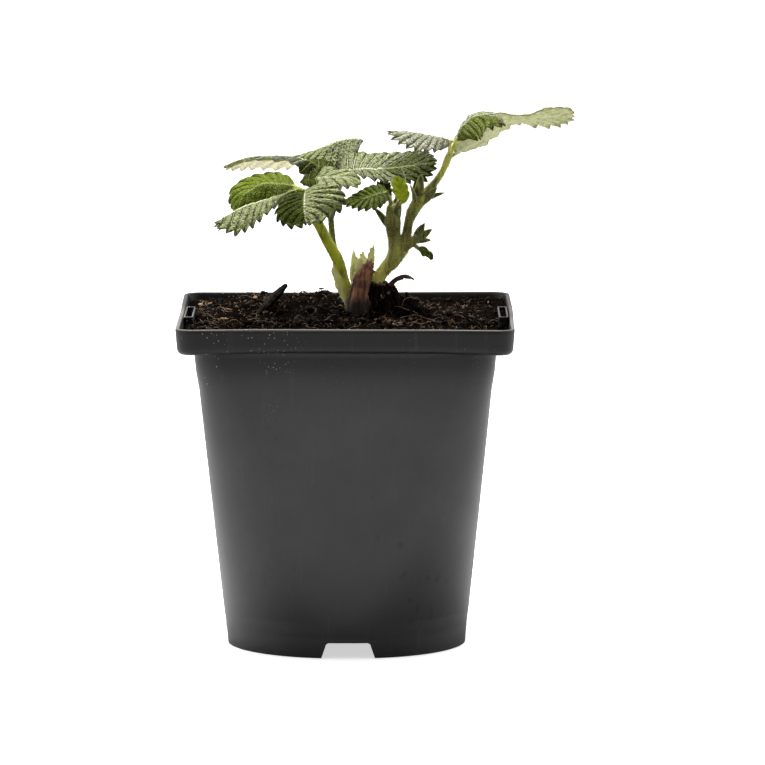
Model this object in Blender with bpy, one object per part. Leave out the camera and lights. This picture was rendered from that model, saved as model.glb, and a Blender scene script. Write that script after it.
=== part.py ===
"""Potted strawberry plant: a young plant in a square-to-round nursery pot.

Lengths below are millimetres. Z is up, and the plant is seen from -Y. The pot's own axis is the line
x = 0, y = 0 of every shape below. All of them hang on one empty that stands at POT_X, so that the middle
of the whole object, whose leaves reach further to the right, lies on the world's Z axis.
"""

import math

import bmesh
import bpy
import numpy as np

MM = 0.001
GAP = 0.3
POT_X = -12.0

# The pot: a square rim band on a body that runs into a round foot.
POT_HEIGHT = 130.0
RIM_HALF = 65.0
RIM_CORNER = 8.0
BAND_HEIGHT = 9.5
BAND_FOOT = POT_HEIGHT - BAND_HEIGHT
BAND_DRAFT = 0.8
BAND_WALL = 1.5
LEDGE_RISE = 1.3
BODY_WALL = 1.2
BODY_TOP_HALF = 58.1
BODY_SHOULDER_HALF = 56.3
SHOULDER_HEIGHT = 104.0
BODY_FOOT_HALF = 48.1
FOOT_HALF = 46.9
FOOT_WALL = 1.6
FOOT_TOP = 7.7
STEP_TOP = 13.6
WALL_HEIGHTS = (STEP_TOP, 30.0, 60.0, 90.0, SHOULDER_HEIGHT, SHOULDER_HEIGHT + 8.0)
FLOOR_UNDER = 6.2
FLOOR_TOP = 7.6
ROUNDNESS = 0.93
ARC_STEPS = 9
NOTCH_WIDE = 20.8
NOTCH_NARROW = 17.6
NOTCH_HEIGHT = 6.0
NOTCH_TURN = 1.1
LUG_LENGTH = 36.0
LUG_DEPTH = 4.2
LUG_BELOW_RIM = 0.6
HOLE_RADIUS = 4.0
HOLE_RING = 34.0

# The soil, whose surface rises to the crown and to a heap behind it.
SOIL_FRONT = 124.8
SOIL_BACK = 127.0
SOIL_RINGS = (0.0, 0.12, 0.24, 0.36, 0.48, 0.6, 0.71, 0.82, 0.92, 1.0)
CROWN_X = 13.5

# Leaves: blade thickness, the rib's extra thickness, and the gap at a leaflet's stalk.
BLADE = 0.7
RIB = 0.45
ROW_PLACES = (0.0, 0.68)
TOOTH_TIP = 0.68
FIRST_TOOTH = 0.30
LAST_TOOTH = 0.97
RIB_LEAN = 0.36
LEAF_SHAPE = (1.1, 0.48)
LEAF_COLUMNS = 3
BLADE_START = 0.15

# A stem's domed end, as shares of its radius.
CAP_LENGTH = 0.55
CAP_WIDTH = 0.6


def clear_scene():
    for obj in list(bpy.data.objects):
        bpy.data.objects.remove(obj)


def make_material(name, colour, roughness):
    material = bpy.data.materials.new(name)
    material.use_nodes = True
    shader = material.node_tree.nodes["Principled BSDF"]
    shader.inputs["Base Color"].default_value = (*colour, 1.0)
    shader.inputs["Roughness"].default_value = roughness
    shader.inputs["Metallic"].default_value = 0.0
    return material


def make_object(name, points, faces, smooth_angle=40.0):
    """An object from points in millimetres, with the outsides of its faces found from its volume."""
    mesh = bpy.data.meshes.new(name)
    mesh.from_pydata((np.asarray(points) * MM).tolist(), [], [list(map(int, face)) for face in faces])
    work = bmesh.new()
    work.from_mesh(mesh)
    bmesh.ops.recalc_face_normals(work, faces=work.faces)
    work.to_mesh(mesh)
    work.free()
    mesh.shade_smooth()
    mesh.set_sharp_from_angle(angle=math.radians(smooth_angle))
    obj = bpy.data.objects.new(name, mesh)
    bpy.context.scene.collection.objects.link(obj)
    return obj


def finish_node(obj, material, parent):
    obj.data.materials.clear()
    obj.data.materials.append(material)
    obj.parent = parent
    return obj


def make_cutter(obj, parent):
    obj.parent = parent
    obj.hide_render = True
    obj.display_type = "WIRE"
    return obj


def cut(body, cutter):
    difference = body.modifiers.new("cut_" + cutter.name, "BOOLEAN")
    difference.operation = "DIFFERENCE"
    difference.solver = "EXACT"
    difference.object = cutter


def keep_largest_shell(mesh):
    """Fills the hollows that joining sealed, and drops loose scraps: only the largest shell stays."""
    work = bmesh.new()
    work.from_mesh(mesh)
    bmesh.ops.remove_doubles(work, verts=work.verts, dist=0.002 * MM)
    left = set(work.faces)
    shells = []
    while left:
        shell, front = set(), [left.pop()]
        while front:
            face = front.pop()
            shell.add(face)
            near = {other for edge in face.edges for other in edge.link_faces} & left
            left -= near
            front.extend(near)
        shells.append(shell)
    largest = max(shells, key=lambda shell: sum(face.calc_area() for face in shell))
    extra = [face for shell in shells if shell is not largest for face in shell]
    bmesh.ops.delete(work, geom=extra, context="FACES")
    work.to_mesh(mesh)
    work.free()


def fuse(body, pieces, solver="EXACT"):
    """Joins pieces that grew or were moulded together into the body's own mesh."""
    group = bpy.data.collections.new(body.name + "_pieces")
    bpy.context.scene.collection.children.link(group)
    for piece in pieces:
        bpy.context.scene.collection.objects.unlink(piece)
        group.objects.link(piece)
    union = body.modifiers.new("union", "BOOLEAN")
    union.operation = "UNION"
    union.solver = solver
    union.operand_type = "COLLECTION"
    union.collection = group
    bpy.context.view_layer.update()
    joined = body.evaluated_get(bpy.context.evaluated_depsgraph_get())
    mesh = bpy.data.meshes.new_from_object(joined)
    mesh.name = body.name
    keep_largest_shell(mesh)
    body.modifiers.clear()
    body.data = mesh
    for piece in pieces:
        bpy.data.objects.remove(piece)
    bpy.data.collections.remove(group)
    return body


def unit(vectors):
    return vectors / np.maximum(np.linalg.norm(vectors, axis=-1, keepdims=True), 1e-12)


def smooth_path(points, count):
    """Evenly spaced points on a Catmull-Rom curve through the given ones."""
    given = np.array(points, float)
    knots = np.vstack([2 * given[0] - given[1], given, 2 * given[-1] - given[-2]])
    t = np.linspace(0, 1, 24, endpoint=False)[:, None]
    pieces = []
    for a, b, c, d in zip(knots, knots[1:], knots[2:], knots[3:]):
        cubic = (3 * b - a - 3 * c + d) * t**3
        pieces.append(0.5 * (2 * b + (c - a) * t + (2 * a - 5 * b + 4 * c - d) * t**2 + cubic))
    dense = np.vstack([*pieces, given[-1:]])
    run = np.concatenate([[0], np.cumsum(np.linalg.norm(np.diff(dense, axis=0), axis=1))])
    places = np.linspace(0, run[-1], count)
    return np.stack([np.interp(places, run, dense[:, axis]) for axis in range(3)], axis=1)


def along(values, place):
    """Values spread evenly from base to tip, read at a place from 0 to 1 with smooth passages."""
    known = np.array(values, float)
    if len(known) == 1:
        return np.full(np.shape(place), known[0])
    x = np.clip(place, 0, 1) * (len(known) - 1)
    low = np.minimum(x.astype(int), len(known) - 2)
    share = x - low
    share = share * share * (3 - 2 * share)
    return known[low] * (1 - share) + known[low + 1] * share


def value_noise(x, y, cell, seed):
    """Smooth seeded noise in -1..1 over the plane."""
    table = np.random.default_rng(seed).uniform(-1, 1, (64, 64))
    u = np.asarray(x, float) / cell + 32
    v = np.asarray(y, float) / cell + 32
    i = np.floor(u).astype(int)
    j = np.floor(v).astype(int)
    fu = (u - i) ** 2 * (3 - 2 * (u - i))
    fv = (v - j) ** 2 * (3 - 2 * (v - j))
    near = table[i % 64, j % 64] * (1 - fu) + table[(i + 1) % 64, j % 64] * fu
    far = table[i % 64, (j + 1) % 64] * (1 - fu) + table[(i + 1) % 64, (j + 1) % 64] * fu
    return near * (1 - fv) + far * fv


def rounded_square(half, corner, z):
    """A ring of points at one height: four arcs, joined by straight sides."""
    centre = half - corner
    ring = []
    for quarter in range(4):
        for step in range(ARC_STEPS + 1):
            angle = math.pi / 2 * (quarter + step / ARC_STEPS)
            side_x = math.copysign(1, math.cos(math.pi / 2 * (quarter + 0.5)))
            side_y = math.copysign(1, math.sin(math.pi / 2 * (quarter + 0.5)))
            x = side_x * centre + corner * math.cos(angle)
            y = side_y * centre + corner * math.sin(angle)
            ring.append((x, y, z))
    return ring


def bridge(rings):
    """Faces between rings of equal length, and a flat face over each open end."""
    count = len(rings[0])
    faces = []
    for row in range(len(rings) - 1):
        for k in range(count):
            after = (k + 1) % count
            low, high = row * count, (row + 1) * count
            faces.append((low + k, low + after, high + after, high + k))
    faces.append(tuple(range(count)))
    faces.append(tuple(range((len(rings) - 1) * count, len(rings) * count)))
    return faces


def body_half(z):
    """The pot body's half width outside at a height, from foot to band."""
    known = {
        0.0: FOOT_HALF,
        FOOT_TOP: FOOT_HALF + 0.4,
        STEP_TOP: BODY_FOOT_HALF,
        SHOULDER_HEIGHT: BODY_SHOULDER_HALF,
        SHOULDER_HEIGHT + 8.0: BODY_TOP_HALF - 0.6,
        BAND_FOOT: BODY_TOP_HALF,
    }
    return float(np.interp(z, list(known), list(known.values())))


def body_corner(z, half):
    """The corner radius at a height: the flat sides narrow evenly from the band to the round foot."""
    rise = np.clip((z - STEP_TOP) / (BAND_FOOT - STEP_TOP), 0, 1)
    flat_foot = (1 - ROUNDNESS) * half
    flat_top = BODY_TOP_HALF - RIM_CORNER - 1.0
    return half - (flat_foot + (flat_top - flat_foot) * rise)


def body_ring(z, inset=0.0, at=None):
    """A ring on the body's outside, or set in from it. The wall's height may differ from the ring's."""
    outer = body_half(z)
    corner = body_corner(z, outer)
    return rounded_square(outer - inset, corner - inset, z if at is None else at)


def band_ring(z, inset=0.0):
    outer = RIM_HALF - BAND_DRAFT * (POT_HEIGHT - z) / BAND_HEIGHT
    return rounded_square(outer - inset, RIM_CORNER - inset, z)


def pot_shell():
    outside = [body_ring(z) for z in (FOOT_TOP - 1.2, FOOT_TOP, 10.5, *WALL_HEIGHTS, BAND_FOOT)]
    inside = [body_ring(z, BODY_WALL) for z in reversed(WALL_HEIGHTS)]
    rings = [
        body_ring(0.0, FOOT_WALL, FLOOR_UNDER),
        body_ring(0.0, FOOT_WALL),
        body_ring(0.0),
        *outside,
        band_ring(BAND_FOOT, 1.2),
        band_ring(BAND_FOOT + 0.8),
        band_ring(POT_HEIGHT - 0.4),
        band_ring(POT_HEIGHT, 0.4),
        band_ring(POT_HEIGHT, BAND_WALL - 0.3),
        band_ring(POT_HEIGHT - 0.4, BAND_WALL),
        band_ring(BAND_FOOT + LEDGE_RISE + 0.4, BAND_WALL + 0.3),
        body_ring(BAND_FOOT, BODY_WALL - 0.3, BAND_FOOT + LEDGE_RISE),
        *inside,
        body_ring(FLOOR_TOP + 2.0, BODY_WALL),
        body_ring(FLOOR_TOP, BODY_WALL + 0.8),
    ]
    return np.array([point for ring in rings for point in ring]), bridge(rings)


def tapered_block(x_range, y_half, z_range, draft):
    """A block whose top is smaller than its foot by the draft on three sides."""
    inner, outer = x_range
    lean = math.copysign(draft, outer - inner)
    points = []
    for z, small in ((z_range[0], 0.0), (z_range[1], 1.0)):
        y = y_half - draft * small
        points += [(inner + lean * small, -y, z), (outer, -y, z), (outer, y, z), (inner + lean * small, y, z)]
    return np.array(points), bridge([points[:4], points[4:]])


def notch_outline():
    """A foot notch seen from the side: wider at the floor, with rounded upper corners."""
    corner = 1.5
    outline = [(-NOTCH_WIDE / 2 - 0.3, -1.0)]
    for side in (-1, 1):
        for step in range(5):
            angle = math.pi / 2 * step / 4
            turn = angle if side < 0 else math.pi / 2 - angle
            x = side * (NOTCH_NARROW / 2 - corner + corner * math.cos(turn))
            outline.append((x, NOTCH_HEIGHT - corner + corner * math.sin(turn)))
    outline.append((NOTCH_WIDE / 2 + 0.3, -1.0))
    return outline


def prism(outline, depth_range, degrees):
    """An upright outline pushed along the depth and turned about Z."""
    turn = math.radians(degrees)
    rings = []
    for depth in depth_range:
        ring = []
        for across, z in outline:
            x = across * math.cos(turn) + depth * math.sin(turn)
            y = across * math.sin(turn) - depth * math.cos(turn)
            ring.append((x, y, z))
        rings.append(ring)
    return np.array([point for ring in rings for point in ring]), bridge(rings)


def upright_cylinder(x, y, radius, z_range, sides):
    rings = []
    for z in z_range:
        turns = [2 * math.pi * k / sides for k in range(sides)]
        rings.append([(x + radius * math.cos(turn), y + radius * math.sin(turn), z) for turn in turns])
    return np.array([point for ring in rings for point in ring]), bridge(rings)


def lug_ranges(side, extra):
    """Where a stacking lug stands: across, half its length, and its height."""
    wall = RIM_HALF - BAND_DRAFT - BAND_WALL + 0.6
    across = (side * (wall - LUG_DEPTH - extra), side * wall)
    height = (BAND_FOOT + 0.7 - extra, POT_HEIGHT - LUG_BELOW_RIM + extra)
    return across, LUG_LENGTH / 2 + extra, height


def make_pot(material, parent):
    pot = make_object("pot", *pot_shell(), smooth_angle=30.0)
    lugs = []
    for side in (-1, 1):
        across, half_length, height = lug_ranges(side, 0.0)
        lugs.append(make_object(f"lug_{side}", *tapered_block(across, half_length, height, 0.5)))
    fuse(pot, lugs)
    for quarter in range(4):
        notch = prism(notch_outline(), (FOOT_HALF - 6, FOOT_HALF + 3), 90 * quarter + NOTCH_TURN)
        cut(pot, make_cutter(make_object(f"notch_{quarter}", *notch), parent))
    places = [(0.0, 0.0)]
    for k in range(8):
        turn = 2 * math.pi * k / 8
        places.append((HOLE_RING * math.cos(turn), HOLE_RING * math.sin(turn)))
    for number, (x, y) in enumerate(places):
        hole = upright_cylinder(x, y, HOLE_RADIUS, (FLOOR_UNDER - 2, FLOOR_TOP + 2), 12)
        cut(pot, make_cutter(make_object(f"drain_{number}", *hole), parent))
    return finish_node(pot, material, parent)


def soil_height(x, y):
    """The crumbled surface: a slope, a rise round the crown, a heap behind it, and clods."""
    slope = SOIL_FRONT + (SOIL_BACK - SOIL_FRONT) * (y + 60) / 120
    rise = 3.0 * np.exp(-((x - CROWN_X + 3) ** 2 + (y - 2) ** 2) / (2 * 17.0**2))
    heap = 3.6 * np.exp(-(((x + 16) / 20) ** 2) - ((y - 38) / 15) ** 2)
    ridge = 2.0 * np.exp(-(((x - 30) / 24) ** 2) - ((y - 6) / 9) ** 2)
    shoulder = 5.0 * np.exp(-(((x - 23) / 5.5) ** 2) - ((y - 2) / 8) ** 2)
    clods = 0.9 * value_noise(x, y, 9.0, 3) + 0.6 * value_noise(x, y, 4.5, 4)
    return slope + rise + heap + ridge + shoulder + clods


def soil_shell():
    clear = BODY_WALL + GAP
    band_clear = BAND_WALL + 0.3 + GAP
    rings = [
        body_ring(FLOOR_TOP + GAP, clear + 0.8),
        body_ring(FLOOR_TOP + 2.2, clear),
        *[body_ring(z, clear) for z in WALL_HEIGHTS],
        body_ring(BAND_FOOT, clear - 0.3, BAND_FOOT + LEDGE_RISE),
        band_ring(BAND_FOOT + LEDGE_RISE + 0.4 + GAP, band_clear),
    ]
    points = [point for ring in rings for point in ring]
    rim = np.array(band_ring(BAND_FOOT + 4.0, band_clear))
    count = len(rim)
    for share in reversed(SOIL_RINGS[1:]):
        ring = rim.copy()
        ring[:, :2] *= share
        ring[:, 2] = soil_height(ring[:, 0], ring[:, 1])
        points += ring.tolist()
    top_rings = len(SOIL_RINGS) - 1
    points.append((0.0, 0.0, float(soil_height(0.0, 0.0))))
    rows = len(rings) + top_rings
    faces = []
    for row in range(rows - 1):
        for k in range(count):
            after = (k + 1) % count
            a, b = row * count + k, row * count + after
            c, d = (row + 1) * count + after, (row + 1) * count + k
            if row < len(rings) - 1:
                faces.append((a, b, c, d))
            else:
                faces += [(a, b, c), (a, c, d)]
    last = (rows - 1) * count
    faces += [(last + k, last + (k + 1) % count, len(points) - 1) for k in range(count)]
    faces.append(tuple(range(count)))
    return np.array(points), faces


def tube(points, radii, sides=10, count=14, grow=0.0, round_ends=True):
    """A stem: rings of points along a smooth path, with radii spread along it and domed ends."""
    path = smooth_path(points, count)
    tangent = unit(np.gradient(path, axis=0))
    radius = along(radii, np.linspace(0, 1, count)) + grow
    side = unit(np.cross(tangent[0], (0.3, 1.0, 0.2)))
    rings = []
    for centre, ahead, wide in zip(path, tangent, radius):
        side = unit(side - ahead * np.dot(side, ahead))
        other = np.cross(ahead, side)
        turns = [2 * math.pi * k / sides for k in range(sides)]
        rings.append([centre + wide * (math.cos(turn) * side + math.sin(turn) * other) for turn in turns])
    if round_ends:
        for index, sign in ((0, -1), (-1, 1)):
            centre, wide = path[index], radius[index]
            beyond = centre + sign * CAP_LENGTH * wide * tangent[index]
            cap = [beyond + CAP_WIDTH * (point - centre) for point in rings[index]]
            rings.insert(0 if index == 0 else len(rings), cap)
    return np.array([point for ring in rings for point in ring]), bridge(rings)


def profile(x, shape):
    """Half width from base to tip, 1 at its widest. The shape's two powers fill out base and tip."""
    base, tip = shape
    widest = base / (base + tip)
    top = widest**base * (1 - widest) ** tip
    full = np.clip(x, 1e-9, 1) ** base * np.clip(1 - x, 0, 1) ** tip / top
    return full * np.tanh(np.clip(x, 0, 1) / 0.03)


def tooth_height(share):
    """The height of a tooth between two notches, with its point at TOOTH_TIP."""
    rising = np.sin(0.5 * math.pi * np.clip(share / TOOTH_TIP, 0, 1)) ** 0.8
    falling = np.clip((1 - share) / (1 - TOOTH_TIP), 0, 1) ** 0.75
    return np.where(share < TOOTH_TIP, rising, falling)


def half_blade(length, width, shape, teeth, bite):
    """One half laid flat, row by row from base to tip: rib place, smooth edge, toothed edge, tooth count."""
    first = FIRST_TOOTH if teeth else 0.9
    smooth_rows = 3 if teeth else 5
    phase = list(np.linspace(0.06, first, smooth_rows, endpoint=not teeth))
    height = [0.0] * smooth_rows
    count = [0.0] * smooth_rows
    for number in range(teeth):
        for share in ROW_PLACES:
            phase.append(first + (number + share) * (LAST_TOOTH - first) / teeth)
            height.append(float(tooth_height(share)))
            count.append(number + share)
    phase, height, count = np.array(phase), np.array(height), np.array(count)
    step = 1e-4
    x = (1 - np.cos(math.pi * phase)) / 2
    ahead = (1 - np.cos(math.pi * (phase + step))) / 2
    edge = np.stack([x * length, width * profile(x, shape)], 1)
    tangent = unit(np.stack([ahead * length, width * profile(ahead, shape)], 1) - edge)
    outward = np.stack([-tangent[:, 1], tangent[:, 0]], 1)
    size = bite * np.clip(0.55 + 0.9 * (phase - first) / (LAST_TOOTH - first), 0, 1)
    toothed = edge + (outward + 0.5 * tangent) * (height * size)[:, None]
    rib = length * x * (1 - RIB_LEAN * profile(x, LEAF_SHAPE))
    return rib, edge, toothed, count


def blade_sheet(spec):
    """The middle surface of a leaflet as points and triangles, bent to the leaflet's path and folds.

    The path is the rib, and the face vectors say which way its upper side looks. Left and right are as
    seen on that upper side, looking from base to tip, and right is the path's direction crossed with it.
    """
    samples = 81
    path = smooth_path(spec["path"], samples)
    length = np.linalg.norm(np.diff(path, axis=0), axis=1).sum()
    place = np.linspace(0, 1, samples)
    ahead = unit(np.gradient(path, axis=0))
    look = np.stack([along([face[k] for face in spec["face"]], place) for k in range(3)], 1)
    up = unit(look - (look * ahead).sum(1, keepdims=True) * ahead)
    teeth = spec.get("teeth", 0)
    bite = spec.get("bite", 0.0)
    columns = spec.get("columns", LEAF_COLUMNS)
    pleat = spec.get("pleat", 0.5)
    shapes = spec.get("shape", LEAF_SHAPE)
    shapes = shapes if isinstance(shapes[0], tuple) else (shapes, shapes)
    halves = [half_blade(length, spec["width"][k], shapes[k], teeth, bite) for k in range(2)]

    def bend(run, reach, edge_reach, half, inner, count):
        """Carries flat points of one half onto the bent leaflet."""
        at = np.clip(run / length, 0, 1)
        fold = np.radians(along(spec["fold"][half], at))
        curl = np.radians(along(spec["curl"][half], at))
        share = reach / np.maximum(edge_reach, 0.2)
        steps = 16
        across = np.zeros_like(reach)
        lift = np.zeros_like(reach)
        for step in range(steps):
            angle = fold + curl * share * (step + 0.5) / steps
            across = across + np.cos(angle) * reach / steps
            lift = lift + np.sin(angle) * reach / steps
        ridge = -pleat * np.cos(2 * math.pi * (count - TOOTH_TIP)) * np.clip(inner * 1.4, 0, 1)
        lift = lift + np.where(count > 0, ridge, 0.0)
        here = np.stack([np.interp(at, place, path[:, k]) for k in range(3)], 1)
        forward = unit(np.stack([np.interp(at, place, ahead[:, k]) for k in range(3)], 1))
        upward = unit(np.stack([np.interp(at, place, up[:, k]) for k in range(3)], 1))
        here = here + forward * np.maximum(run - length, 0)[:, None]
        side = 1 if half else -1
        return here + side * across[:, None] * np.cross(forward, upward) + lift[:, None] * upward

    rib, edge, _, count = halves[1]
    zero = np.zeros_like(rib)
    rows = len(rib)
    width = 2 * columns + 1
    points = np.zeros((rows, width, 3))
    points[:, columns] = bend(rib, zero, edge[:, 1], 1, zero, count)
    for half, side in ((0, -1), (1, 1)):
        rib, edge, toothed, count = halves[half]
        for column in range(1, columns + 1):
            inner = column / columns
            flat = np.stack([rib, zero], 1) * (1 - inner) + edge * inner
            flat = flat + (toothed - edge) * np.clip((inner - 0.55) / 0.45, 0, 1)
            bent = bend(flat[:, 0], flat[:, 1], edge[:, 1], half, np.full(rows, inner), count)
            points[:, columns + side * column] = bent
    one = np.ones(1)
    tip = bend(one * (length + 0.9 * bite), 0 * one, one, 1, 0 * one, 0 * one)
    points = np.vstack([points.reshape(-1, 3), tip])
    faces = []
    for row in range(rows - 1):
        for column in range(width - 1):
            a = row * width + column
            b, c, d = a + 1, a + width, a + width + 1
            faces += [(a, b, c), (b, d, c)] if column < columns else [(a, b, d), (a, d, c)]
    last = (rows - 1) * width
    faces += [(last + column, last + column + 1, len(points) - 1) for column in range(width - 1)]
    ribs = np.zeros(len(points), bool)
    ribs[columns : rows * width : width] = True
    return points, np.array(faces), ribs


def thicken(points, faces, ribs, thickness, rib_extra):
    """A closed blade with the same triangles on both faces, thicker below along the rib."""
    corners = points[faces]
    area = np.cross(corners[:, 1] - corners[:, 0], corners[:, 2] - corners[:, 0])
    normal = np.zeros_like(points)
    for k in range(3):
        np.add.at(normal, faces[:, k], area)
    normal = unit(normal)
    top = points + normal * thickness / 2
    bottom = points - normal * (thickness / 2 + rib_extra * ribs[:, None])
    count = len(points)
    edges = {}
    for a, b, c in faces:
        for start, end in ((a, b), (b, c), (c, a)):
            edges[(start, end)] = True
    walls = []
    for start, end in edges:
        if (end, start) not in edges:
            walls += [(end, start, start + count), (end, start + count, end + count)]
    under = faces[:, ::-1] + count
    return np.vstack([top, bottom]), [*map(tuple, faces), *map(tuple, under), *walls]


def make_blade(name, spec, grow=0.0):
    """A leaflet, bract or sheath as a closed solid. Growing it makes the cutter for its seat."""
    if grow:
        path = np.array(spec["path"], float)
        path[0] -= grow * unit(path[1] - path[0])
        path[-1] += grow * unit(path[-1] - path[-2])
        spec = {**spec, "path": path, "width": [width + grow for width in spec["width"]]}
    thickness = spec.get("thick", BLADE) + 2 * grow
    rib_extra = spec.get("rib", RIB if spec.get("teeth") else 0.0)
    return make_object(name, *thicken(*blade_sheet(spec), thickness, rib_extra))


# The leaflets. Paths run from the leaflet's own stalk to its tip; angles are degrees, positive upwards.
FRONT_LEAFLETS = {
    "front_leaflet_left": {
        "path": [(-21.5, -10, 177), (-30, -13, 175), (-40, -17, 172), (-49.5, -20, 167)],
        "face": [(-0.15, -0.6, 0.8), (-0.2, -0.65, 0.75), (-0.3, -0.7, 0.6)],
        "width": (8.6, 8.5),
        "fold": ((-8, -8, -5), (-80, -84, -76)),
        "curl": ((-10, -16, -16), (-12, -12, -12)),
        "teeth": 8,
        "bite": 1.9,
        "shape": ((1.35, 0.42), (0.9, 0.42)),
    },
    "front_leaflet_back": {
        "path": [
            (-19.6, -4.8, 179),
            (-25, -4.8, 180),
            (-32, -5.5, 180),
            (-36.5, -6, 178),
            (-40, -7, 175),
            (-42, -8, 170),
        ],
        "face": [(0, -0.28, 0.95), (-0.2, -0.38, 0.9), (-0.72, -0.62, 0.3)],
        "width": (9.0, 10.0),
        "fold": ((-42, -36, -22), (16, 4, 0)),
        "curl": ((-20, -24, -26), (-8, -14, -10)),
        "teeth": 8,
        "bite": 1.5,
        "shape": ((0.45, 0.6), (0.6, 0.48)),
    },
    "front_leaflet_right": {
        "path": [(-15.5, -12, 178.5), (-16.2, -17, 176), (-16.2, -22, 171.5), (-15.5, -26, 167)],
        "face": [(-0.05, -0.45, 0.88), (0, -0.65, 0.75), (0.05, -0.85, 0.5)],
        "width": (15.8, 10.2),
        "fold": ((42, 30, 14), (2, 0, -4)),
        "curl": ((-26, -34, -36), (-28, -26, -25)),
        "teeth": 7,
        "bite": 2.0,
        "shape": ((0.66, 0.66), (0.9, 0.5)),
    },
}
BACK_LEAFLETS = {
    "back_leaflet_left": {
        "path": [
            (-5.2, 12.6, 181.8),
            (-11, 12.6, 185.2),
            (-19.5, 12.6, 188.7),
            (-30.5, 12, 189.2),
            (-39.5, 13, 188),
            (-47, 14, 185),
        ],
        "face": [(-0.3, -0.2, 0.9), (0, -0.08, 1), (-0.1, 0, 1)],
        "width": (8.2, 7.4),
        "fold": ((-46, 2, 10), (30, -46, -42)),
        "curl": ((-10, -6, -6), (-10, -14, -10)),
        "teeth": 8,
        "bite": 1.4,
        "shape": ((0.35, 0.5), (0.25, 0.55)),
    },
    "back_leaflet_top": {
        "path": [
            (6.5, 20.5, 194.8),
            (2.8, 21.1, 195.5),
            (-2.5, 22.5, 194.4),
            (-9.5, 24.5, 191.7),
            (-15, 26.5, 189.5),
            (-20.5, 27.5, 187.8),
        ],
        "face": [(0.1, -0.6, 0.75), (0.1, -0.65, 0.75), (0, -0.65, 0.8), (-0.1, -0.6, 0.8)],
        "width": (12.2, 8.0),
        "fold": ((-6, -6, -4), (-42, -42, -42)),
        "curl": ((-8, -10, -10), (-10, -15, -15)),
        "teeth": 8,
        "bite": 1.6,
        "shape": ((0.2, 0.6), (0.5, 0.6)),
        "stalk_bow": (1.5, 7.0, -2.8),
    },
    "back_leaflet_right": {
        "path": [(-3, 7, 183.5), (6, 6, 184.5), (18, 5, 185), (28, 4, 186.5), (34, 3, 187)],
        "face": [(0, -0.4, 0.9), (0, -0.4, 0.9), (0, -0.5, 0.85), (0.25, -0.85, 0.55)],
        "width": (12.0, 8.2),
        "fold": ((26, 7, 2, -10), (2, 0, 6, 12)),
        "curl": ((-10, -12, -16), (-14, -16, -26)),
        "teeth": 9,
        "bite": 1.6,
        "shape": ((0.28, 0.46), (1.1, 0.48)),
    },
    "back_leaflet_small": {
        "path": [
            (-17.8, 2, 180),
            (-13, 1.2, 181.2),
            (-8.5, -0.6, 182),
            (-4.5, -2.5, 182.3),
            (0.5, -4, 182),
            (4.5, -6, 180),
        ],
        "face": [(0, -0.35, 0.94), (0.1, -0.4, 0.9), (0.2, -0.45, 0.85)],
        "width": (5.2, 5.4),
        "fold": ((10, 34, 8, 0), (-8, -8, -8)),
        "stalk_end": (-13, 1.4, 179.2),
        "curl": ((-10, -10, -10), (-25, -25, -25)),
        "teeth": 5,
        "bite": 1.2,
        "shape": (0.45, 0.45),
    },
}
UPPER_LEAFLETS = {
    "upper_leaflet_left": {
        "path": [
            (41.5, -1, 196.2),
            (37, -2.5, 198),
            (30, -4, 199.2),
            (24, -5, 199.9),
            (17.5, -6, 200.4),
        ],
        "face": [(0, -0.1, 0.98), (0, -0.18, 0.98), (0, -0.2, 0.98)],
        "width": (6.8, 7.0),
        "fold": ((-60, -40, -22), (-60, -22, -10)),
        "curl": ((-10, -14, -20), (-10, -20, -10)),
        "teeth": 7,
        "bite": 1.7,
        "shape": ((0.5, 0.5), (0.4, 1.3)),
    },
    "upper_leaflet_right": {
        "path": [
            (42, 0, 191),
            (46.5, 1, 193.5),
            (56, 3, 199),
            (65.5, 5, 204),
            (75.5, 7, 205),
            (88, 8, 205),
        ],
        "face": [
            (-0.3, 0.4, 0.85),
            (-0.3, 0.4, 0.85),
            (-0.1, 0.45, 0.9),
            (0, 0.5, 0.85),
            (0, 0.55, 0.83),
        ],
        "width": (8.5, 11.4),
        "fold": ((-12, -18, 8, 14, 4, 0), (64, 50, 10, -13, -6, 0)),
        "curl": ((-10, -10, -10), (20, 10, -10, -6, 0)),
        "teeth": 9,
        "bite": 1.4,
        "shape": ((0.9, 0.45), (0.46, 0.36)),
    },
    "upper_leaflet_middle": {
        "path": [
            (43, -6.6, 197),
            (44.8, -8, 202),
            (48.4, -9.2, 205.8),
            (53.2, -9.9, 207.3),
            (57.6, -10.9, 206.6),
            (60.6, -12.2, 204),
        ],
        "face": [(-0.5, -0.5, 0.7), (-0.2, -0.6, 0.8), (0.3, -0.6, 0.7)],
        "width": (4.0, 10.0),
        "fold": ((-20, -20, -20), (-14, -10, 0)),
        "curl": ((-10, -10, -10), (-10, -10, -10)),
        "teeth": 6,
        "bite": 1.4,
        "shape": (0.7, 0.6),
    },
}
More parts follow.
